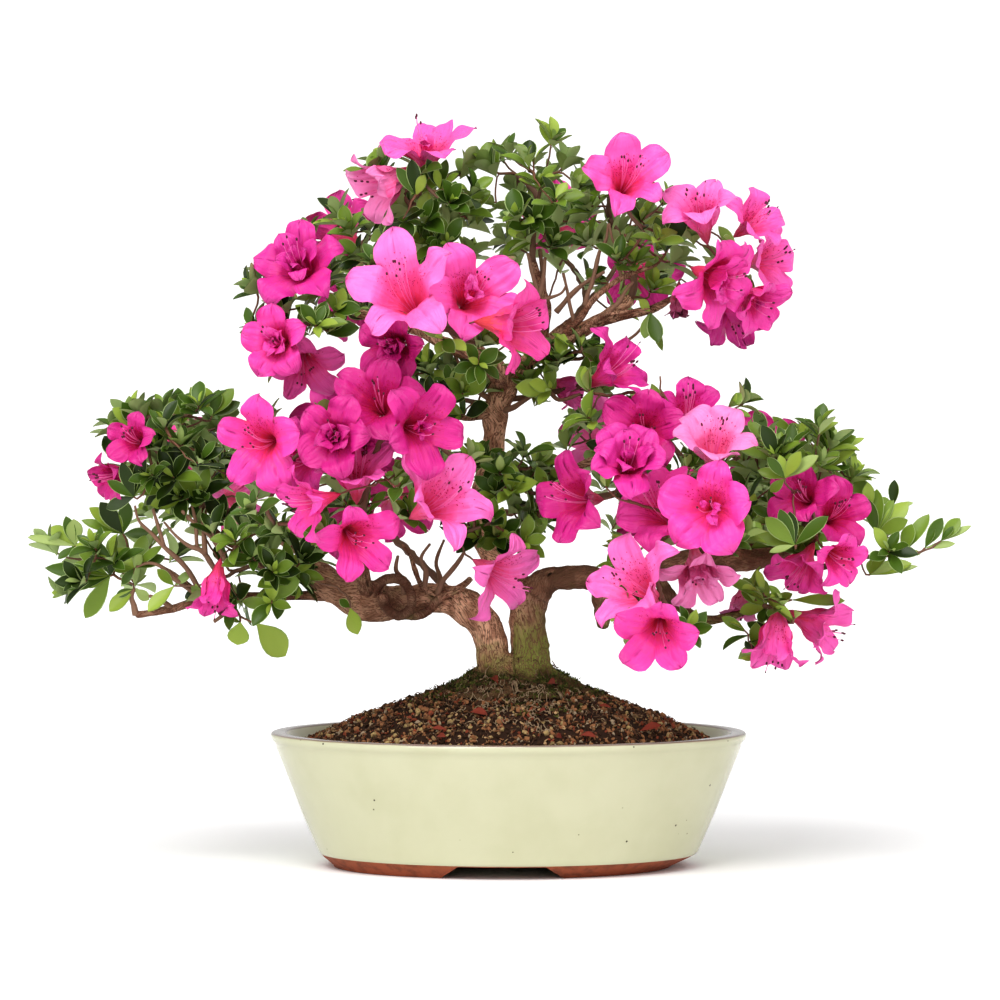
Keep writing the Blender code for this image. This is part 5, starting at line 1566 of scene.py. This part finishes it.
def add_stamens(bloom, filaments, anthers):
    """Stamens that leave the throat together and spread and rise at their ends, round one pistil in a single
    bloom.
    """
    rng, radius, axis = bloom.rng, bloom.radius, bloom.axis
    rise = upward_of(axis)
    count = STAMENS[bloom.kind]
    t = np.linspace(0, 1, 8)[:, None]
    points, faces = ball()
    for i in range(count + (bloom.kind == "single")):
        pistil = i == count
        turn = rng.uniform(0, math.tau)
        around = bloom.up * math.cos(turn) + bloom.side * math.sin(turn)
        length = radius * (0.66 if pistil else rng.uniform(0.36, 0.60))
        start = bloom.throat - axis * 0.60 * radius + around * 0.03 * radius
        middle = bloom.throat + axis * 0.15 * length + around * 0.10 * radius - rise * 0.10 * radius
        end = bloom.throat + axis * length + around * rng.uniform(0.10, 0.24) * radius + rise * 0.10 * radius
        path = (1 - t) ** 2 * start + 2 * (1 - t) * t * middle + t * t * end
        thick = (0.36 if pistil else 0.26) * MM
        filaments.add(*tube(path, np.linspace(thick, thick * 0.75, len(t)), 4))
        head = points * np.array((0.50, 0.50, 0.9)) * (0.9 if pistil else 1.4) * MM
        way = unit(path[-1] - path[-2])
        side = across_of(way)
        anthers.add(path[-1] + head @ np.stack((side, np.cross(way, side), way)), faces)


class Shoot:
    """The end of a twig that carries a whorl of leaves, the leaves of these tips, or a bloom."""

    def __init__(self, hub, axis, blooms=False, tips=()):
        self.hub, self.axis, self.blooms, self.tips = hub, axis, blooms, tips


def halton(index, base):
    value, share = 0.0, 1.0
    while index:
        share /= base
        value += share * (index % base)
        index //= base
    return value


MIDDLES = {mass[0]: seen(*mass[3]) for mass in MASSES}


def apart(points, mass):
    """How far out in a mass points lie: 1 on its surface."""
    away = (np.asarray(points) - MIDDLES[mass[0]]) / (np.array(mass[4]) * MM)
    return np.linalg.norm(away, axis=-1)


def in_own_space(points, mass):
    """Which points lie in a mass, and deeper in it than in any other."""
    own = apart(points, mass)
    inside = own <= 1
    for other in MASSES:
        if other is not mass:
            inside &= apart(points, other) > np.minimum(own, 1)
    return inside


def before_bloom(points, blooms):
    """Which points the viewer sees in front of a bloom."""
    columns, rows = shown(points)
    hidden = np.zeros(len(points), bool)
    for bloom in blooms:
        if bloom.axis[1] > 0.35:
            continue
        face = bloom.throat + bloom.axis * 0.1 * bloom.radius
        column, row = shown(face)
        reach = BLOOM_FACE * bloom.radius / PIXEL
        wide, high = (reach * max(0.55, math.sqrt(1 - bloom.axis[i] ** 2)) for i in (0, 2))
        inside = ((columns - column) / wide) ** 2 + ((rows - row) / high) ** 2 < 1
        hidden |= inside & (points[:, 1] < face[1] + 4 * MM)
    return hidden


def place_shoots(mass, root, blooms, petal_tree):
    """Places for a mass's leafy shoots, even through its space."""
    name, _, _, _, sizes, whorls = mass
    rng = random.Random(name)
    wanted = round(whorls * SHOOTS_PER_WHORL * SPARSE.get(name, 1.0))
    sizes = np.array(sizes) * MM
    found = []
    taken = [seen(*at) for at, _ in HAND_SHOOTS.get(name, ())]
    for index in range(1, 60 * wanted):
        if len(found) == wanted:
            break
        height = 2 * halton(index, 2) - 1
        around = math.tau * halton(index, 3)
        flat = math.sqrt(1 - height * height)
        way = np.array((flat * math.cos(around), flat * math.sin(around), height))
        hub = MIDDLES[name] + way * sizes * (SHOOTS_FROM + SHOOTS_OVER * math.sqrt(halton(index, 5)))
        axis = unit(way / sizes) * 0.6 + unit(hub - root) * 0.5 + np.array((0, -0.28, 0.75))
        axis = unit(axis + np.array([rng.uniform(-0.25, 0.25) for _ in range(3)]))
        fits = axis.dot(hub - root) >= 0 and not in_window(hub) and in_own_space(hub[None], mass)[0]
        if not fits or before_bloom(hub[None], blooms)[0]:
            continue
        if any(np.linalg.norm(hub - other) < SHOOTS_APART for other in taken):
            continue
        if petal_tree.find_nearest(Vector(hub), SHOOT_CLEAR)[0] is None:
            found.append(Shoot(hub, axis))
            taken.append(hub)
    return found


class Twigs:
    """The twigs of a mass, grown shoot by shoot from the nearest place on those so far."""

    def __init__(self, start, way, radius, seed):
        self.places, self.ways, self.parents, self.runs = [start], [way], [-1], []
        self.radius = radius
        self.rng = np.random.default_rng(seed)

    def grow(self, shoot, petal_tree):
        """A new twig to a shoot. A place counts as nearer where the twig goes on in its direction."""
        places, ways = np.array(self.places), np.array(self.ways)
        gone = shoot.hub - places
        length = np.linalg.norm(gone, axis=1)
        there = gone / np.maximum(length, 1e-9)[:, None]
        turn = 1 - np.sum(there * ways, axis=1)
        bend = 1 - there @ shoot.axis
        cost = length * (1 + TURN_COST * turn + BEND_COST * bend) + (length < 4 * MM)
        best = None
        for choice in np.argsort(cost)[:TWIG_TRIES]:
            path = self.curve(places[choice], ways[choice], shoot.hub, shoot.axis)
            crossings = self.crossed(places[choice], path, petal_tree)
            if best is None or crossings < best[0]:
                best = (crossings, choice, path)
            if crossings == 0:
                break
        _, choice, path = best
        run = [int(choice)]
        for i, point in enumerate(path):
            self.parents.append(run[-1])
            run.append(len(self.places))
            self.places.append(point)
            self.ways.append(unit(point - (path[i - 1] if i else places[choice])))
        self.runs.append(run)

    def curve(self, start, way, end, axis):
        gone = np.linalg.norm(end - start)
        first = start + way * 0.22 * gone + (end - start) * 0.12
        second = end - axis * 0.34 * gone
        count = max(2, round(gone / TWIG_STEP))
        t = np.linspace(0, 1, count + 1)[1:, None]
        near, far = (1 - t) ** 3 * start + 3 * (1 - t) ** 2 * t * first, 3 * (1 - t) * t * t * second
        path = near + far + t ** 3 * end
        path[:-1] += self.rng.normal(0, 0.35 * MM, (count - 1, 3))
        return path

    def crossed(self, start, path, petal_tree):
        """How many steps of a path go through a petal, its last one left out."""
        total = 0
        before = Vector(start)
        for point in path[:-1]:
            point = Vector(point)
            gone = point - before
            if gone.length > 0 and petal_tree.ray_cast(before, gone.normalized(), gone.length)[0] is not None:
                total += 1
            before = point
        return total

    def radii(self):
        """Each place's radius, from how many twig ends hang on it."""
        load = np.zeros(len(self.places))
        for run in self.runs:
            load[run[-1]] += 1
        for i in range(len(self.places) - 1, 0, -1):
            load[self.parents[i]] += load[i]
        return np.minimum(TWIG_TIP * np.maximum(load, 1) ** TWIG_GROWTH, self.radius)

    def add_to(self, young, old):
        """Thin ends go to one piece and thicker, older twigs to another."""
        radii = self.radii()
        places = np.array(self.places)
        for run in self.runs:
            size = radii[run].copy()
            size[0] = min(size[0], size[1] * 1.15)
            thick = size[1] > TWIG_OLD
            sides = 6 if size[1] > 1.5 * MM else 5 if thick else 4
            (old if thick else young).add(*tube(places[run], size, sides, 0.10 if thick else 0.0))


class LeafSpecs:
    """What the leaves need: foot, direction, upper side, length, width, droop, fold and shade."""

    def __init__(self):
        self.rows, self.shades = [], []

    def add(self, foot, way, upper, length, wide, droop, fold, shade):
        self.rows.append((*foot, *way, *upper, length, wide, droop, fold))
        self.shades.append(shade)

    def points(self, chosen, grown, drop):
        """Points of the chosen leaves, made a little larger and put this far under their places."""
        table = np.array(self.rows)[chosen]
        foot, way, upper = table[:, 0:3], unit(table[:, 3:6]), table[:, 6:9]
        length, wide, droop, fold = (table[:, i][:, None, None] for i in (9, 10, 11, 12))
        side = unit(np.cross(upper, way))
        upper = np.cross(way, side)
        rows = np.array(LEAF_ROWS)
        t = rows[:, 0][None, :, None]
        half = rows[:, 1][None, :, None] * wide / 2 * grown
        s = np.array((-1.0, 0.0, 1.0))[None, None, :]
        x = t * length * (1 - 0.25 * droop * t)
        y = s * half * length
        z = (fold * np.abs(s) * half - droop * t * t) * length - drop
        return (
            foot[:, None, None, :]
            + x[..., None] * way[:, None, None, :]
            + y[..., None] * side[:, None, None, :]
            + z[..., None] * upper[:, None, None, :]
        )

    def mesh(self, chosen, grown, drop):
        points = self.points(chosen, grown, drop)
        offsets = np.arange(len(points))[:, None, None] * len(LEAF_ROWS) * 3
        return points, (grid_faces(len(LEAF_ROWS), 3, False)[None] + offsets).reshape(-1, 3)


def add_hand_leaves(shoot, leaves, rng):
    """The leaves that the photograph shows on a shoot, each turned towards the viewer."""
    for column, row, wide, shade in shoot.tips:
        deep = (shoot.hub[1] + rng.uniform(-9, 5) * MM) / MM
        gone = seen(column, row, deep) - shoot.hub
        length = np.linalg.norm(gone) * 1.02
        upper = np.array((rng.uniform(-0.5, 0.2), -1.0, rng.uniform(0.1, 0.8)))
        droop, fold = rng.uniform(0.0, 0.10), rng.uniform(0.1, 0.4)
        leaves.add(shoot.hub, unit(gone), upper, length, wide, droop, fold, shade)


def add_rosette(shoot, leaves, rng, freshness, narrow):
    """The leaves at a shoot's end: larger ones spread below, smaller and lighter ones stand in the middle."""
    axis = shoot.axis
    across = across_of(axis)
    up = np.cross(axis, across)
    count = int(rng.integers(*LEAF_COUNTS))
    young = int(rng.integers(*YOUNG_COUNTS))
    turn = rng.uniform(0, math.tau)
    opened = rng.uniform(18, 42)
    size = rng.uniform(0.85, 1.1) * (1.1 if narrow else 1.0)
    tone = rng.uniform() * 2.5 + freshness * 1.5
    outer = OUTER_SHADES[min(3, int(tone))]
    for i in range(count + young):
        turn += GOLDEN_TURN + rng.uniform(-0.3, 0.3)
        share = i / (count + young - 1)
        inner = i >= count
        steeper = rng.uniform(32, 48) if inner else 34 * share
        rise = math.radians(opened + steeper + rng.uniform(-12, 12))
        around = across * math.cos(turn) + up * math.sin(turn)
        way = unit(around * math.cos(rise) + axis * math.sin(rise) + np.array((0, 0, 0.12)))
        upper = unit(axis * math.cos(rise) - around * math.sin(rise) + np.array((0, 0, 0.15)))
        upper = unit(upper + np.cross(way, upper) * rng.uniform(-0.35, 0.35))
        length = rng.uniform(*LEAF_LENGTHS) * size * (1.0 - 0.22 * share)
        length *= rng.uniform(0.5, 0.72) if inner else 1
        foot = shoot.hub - axis * (1 - share) * 6 * MM
        shade = outer
        if inner:
            shade = "young" if rng.uniform() < 0.25 + 0.4 * freshness else "fresh"
        elif rng.uniform() < 0.35:
            shade = OUTER_SHADES[int(rng.integers(0, 4))]
        wide = LEAF_WIDTH * rng.uniform(0.84, 1.14) * (0.85 if inner else 1) * (0.88 if narrow else 1)
        leaves.add(foot, way, upper, length, wide, rng.uniform(0.02, 0.30), rng.uniform(0.2, 0.75), shade)


def grow_mass(index, paths, blooms, petal_tree, young, old, leaves, owners):
    """One mass: twigs that go on from its limb, their leaves, and its blooms' stalks."""
    mass = MASSES[index]
    name, limb, along = mass[:3]
    path, radii = paths[limb]
    at = -1 if along == 1 else round(along * (len(path) - 1))
    root = path[at]
    ends = place_shoots(mass, root, blooms, petal_tree)
    way = unit(path[-1] - path[-2]) if along == 1 else unit(MIDDLES[name] - root)
    twigs = Twigs(root, way, min(radii[at] * 0.95, TWIG_LARGEST), index)
    ends += [Shoot(bloom.neck, bloom.axis, True) for bloom in blooms if bloom.mass == name]
    for spot, tips in HAND_SHOOTS.get(name, ()):
        hub = seen(*spot)
        middle = np.mean([seen(column, row, spot[2]) for column, row, _, _ in tips], axis=0)
        ends.append(Shoot(hub, unit(middle - hub), False, tips))
    ends.sort(key=lambda shoot: -np.linalg.norm(shoot.hub - root))
    for shoot in ends:
        twigs.grow(shoot, petal_tree)
    twigs.add_to(young, old)
    rng = np.random.default_rng(SEED * 100 + index)
    freshness = risen(shown(MIDDLES[name])[0], 120, 760)
    for shoot in ends:
        before = len(leaves.rows)
        if shoot.tips:
            add_hand_leaves(shoot, leaves, rng)
        elif not shoot.blooms:
            add_rosette(shoot, leaves, rng, freshness, name in NARROW_LEAVES)
        owners += [-1 if shoot.tips else index] * (len(leaves.rows) - before)


def make_foliage(paths, blooms):
    """The twigs and stalks of every mass, and the leaves, their upper sides apart from their backs."""
    skins = Shape()
    for bloom in blooms:
        bloom.add_skins(skins)
    petal_tree = skins.tree()
    young = plain_piece("young_twigs", "young_bark", YOUNG_BARK, 0.6, 0.8 * MM, 0.15 * MM, 0.4)
    old = plain_piece("twigs", "young_bark", OLD_TWIG, 0.8, 0.9 * MM, 0.4 * MM, 0.3)
    leaves, owners = LeafSpecs(), []
    for index in range(len(MASSES)):
        grow_mass(index, paths, blooms, petal_tree, young, old, leaves, owners)
    keep = kept_leaves(leaves, owners, blooms, petal_tree)
    for shade, colour in LEAF_SHADES.items():
        chosen = [i for i in keep if leaves.shades[i] == shade]
        piece = plain_piece("leaves_" + shade, "leaves", colour, 0.32, 1.6 * MM, 0.10 * MM, 0.28)
        piece.add(*leaves.mesh(chosen, 1.0, 0.0))
        piece.build()
    for back, (colour, shades) in LEAF_BACKS.items():
        chosen = [i for i in keep if leaves.shades[i] in shades]
        piece = plain_piece("leaf_backs_" + back, "leaves", colour, 0.6, 1.4 * MM, 0.1 * MM, 0.3)
        piece.add(*leaves.mesh(chosen, LEAF_MARGIN, LEAF_BACK))
        piece.build()
    young.build()
    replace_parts(old.build(), *(mass[0] for mass in MASSES))


def kept_leaves(leaves, owners, blooms, petal_tree):
    """The leaves that stay in their mass's reach, out of the windows of sky and clear of the petals."""
    spots = leaves.points(np.arange(len(leaves.rows)), 1.0, 0.0)
    middles, tips = spots[:, 3, 1], spots[:, -1, 1]
    keep = np.ones(len(spots), bool)
    for places in (middles, tips):
        keep &= ~in_window(places) & ~before_bloom(places, blooms)
    owners = np.array(owners)
    keep[owners < 0] = True
    for index, mass in enumerate(MASSES):
        mine = owners == index
        keep[mine] &= apart(tips[mine], mass) <= 1 + LEAF_BEYOND / (min(mass[4]) * MM)
    return [
        int(i) for i in np.flatnonzero(keep)
        if all(
            petal_tree.find_nearest(Vector(p), LEAF_CLEAR)[0] is None
            for p in (middles[i], tips[i], spots[i, 5, 1])
        )
    ]


def make_stage():
    """White floor and sky, three soft lights, and the camera at the photograph's angle."""
    mesh = bpy.data.meshes.new("floor")
    far = 30.0
    mesh.from_pydata([(-far, -far, 0), (far, -far, 0), (far, far, 0), (-far, far, 0)], [], [(0, 1, 2, 3)])
    mesh.materials.append(matt("floor", FLOOR, 0.9, 20 * MM, 0.1 * MM, 0.1))
    in_scene("floor", mesh)
    world = bpy.data.worlds.new("studio")
    bpy.context.scene.world = world
    world.use_nodes = True
    tree = world.node_tree
    light = tree.nodes["Background"]
    light.inputs["Color"].default_value = (1, 1, 1, 1)
    light.inputs["Strength"].default_value = WORLD_LIGHT
    behind = from_node(tree, "Background", 0, Color=(1, 1, 1))
    mix = tree.nodes.new("ShaderNodeMixShader")
    seen_directly = from_node(tree, "LightPath", "Is Camera Ray")
    for socket, source in zip(mix.inputs, (seen_directly, light.outputs[0], behind)):
        tree.links.new(source, socket)
    tree.links.new(mix.outputs[0], tree.nodes["World Output"].inputs["Surface"])
    for name, kind, at, size, power in LIGHTS:
        lamp = bpy.data.lights.new(name, kind)
        if kind == "SUN":
            lamp.angle = size
        else:
            lamp.shape = "SQUARE"
            lamp.size = size
        lamp.energy = power
        made = in_scene(name, lamp)
        made.location = at
        made.rotation_euler = (Vector(LIT_POINT) - Vector(at)).to_track_quat("-Z", "Y").to_euler()
    camera = bpy.data.cameras.new("camera")
    made = in_scene("camera", camera)
    away = Vector((0, 0, (GROUND_ROW - CENTRE_ROW) * PIXEL)) - Vector(VIEWER)
    made.location = VIEWER
    made.rotation_euler = away.to_track_quat("-Z", "Y").to_euler()
    camera.sensor_width = SENSOR
    camera.lens = SENSOR * away.length / (PHOTO_SIDE * PIXEL)
    camera.clip_end = 100
    bpy.context.scene.camera = made
    bpy.context.scene.view_settings.view_transform = "Standard"
    bpy.context.scene.view_settings.look = "Medium High Contrast"


def main():
    make_stage()
    make_pot()
    make_soil()
    paths = limb_paths()
    make_bark(paths)
    blooms = place_blooms()
    dress_blooms(blooms)
    make_foliage(paths, blooms)


main()
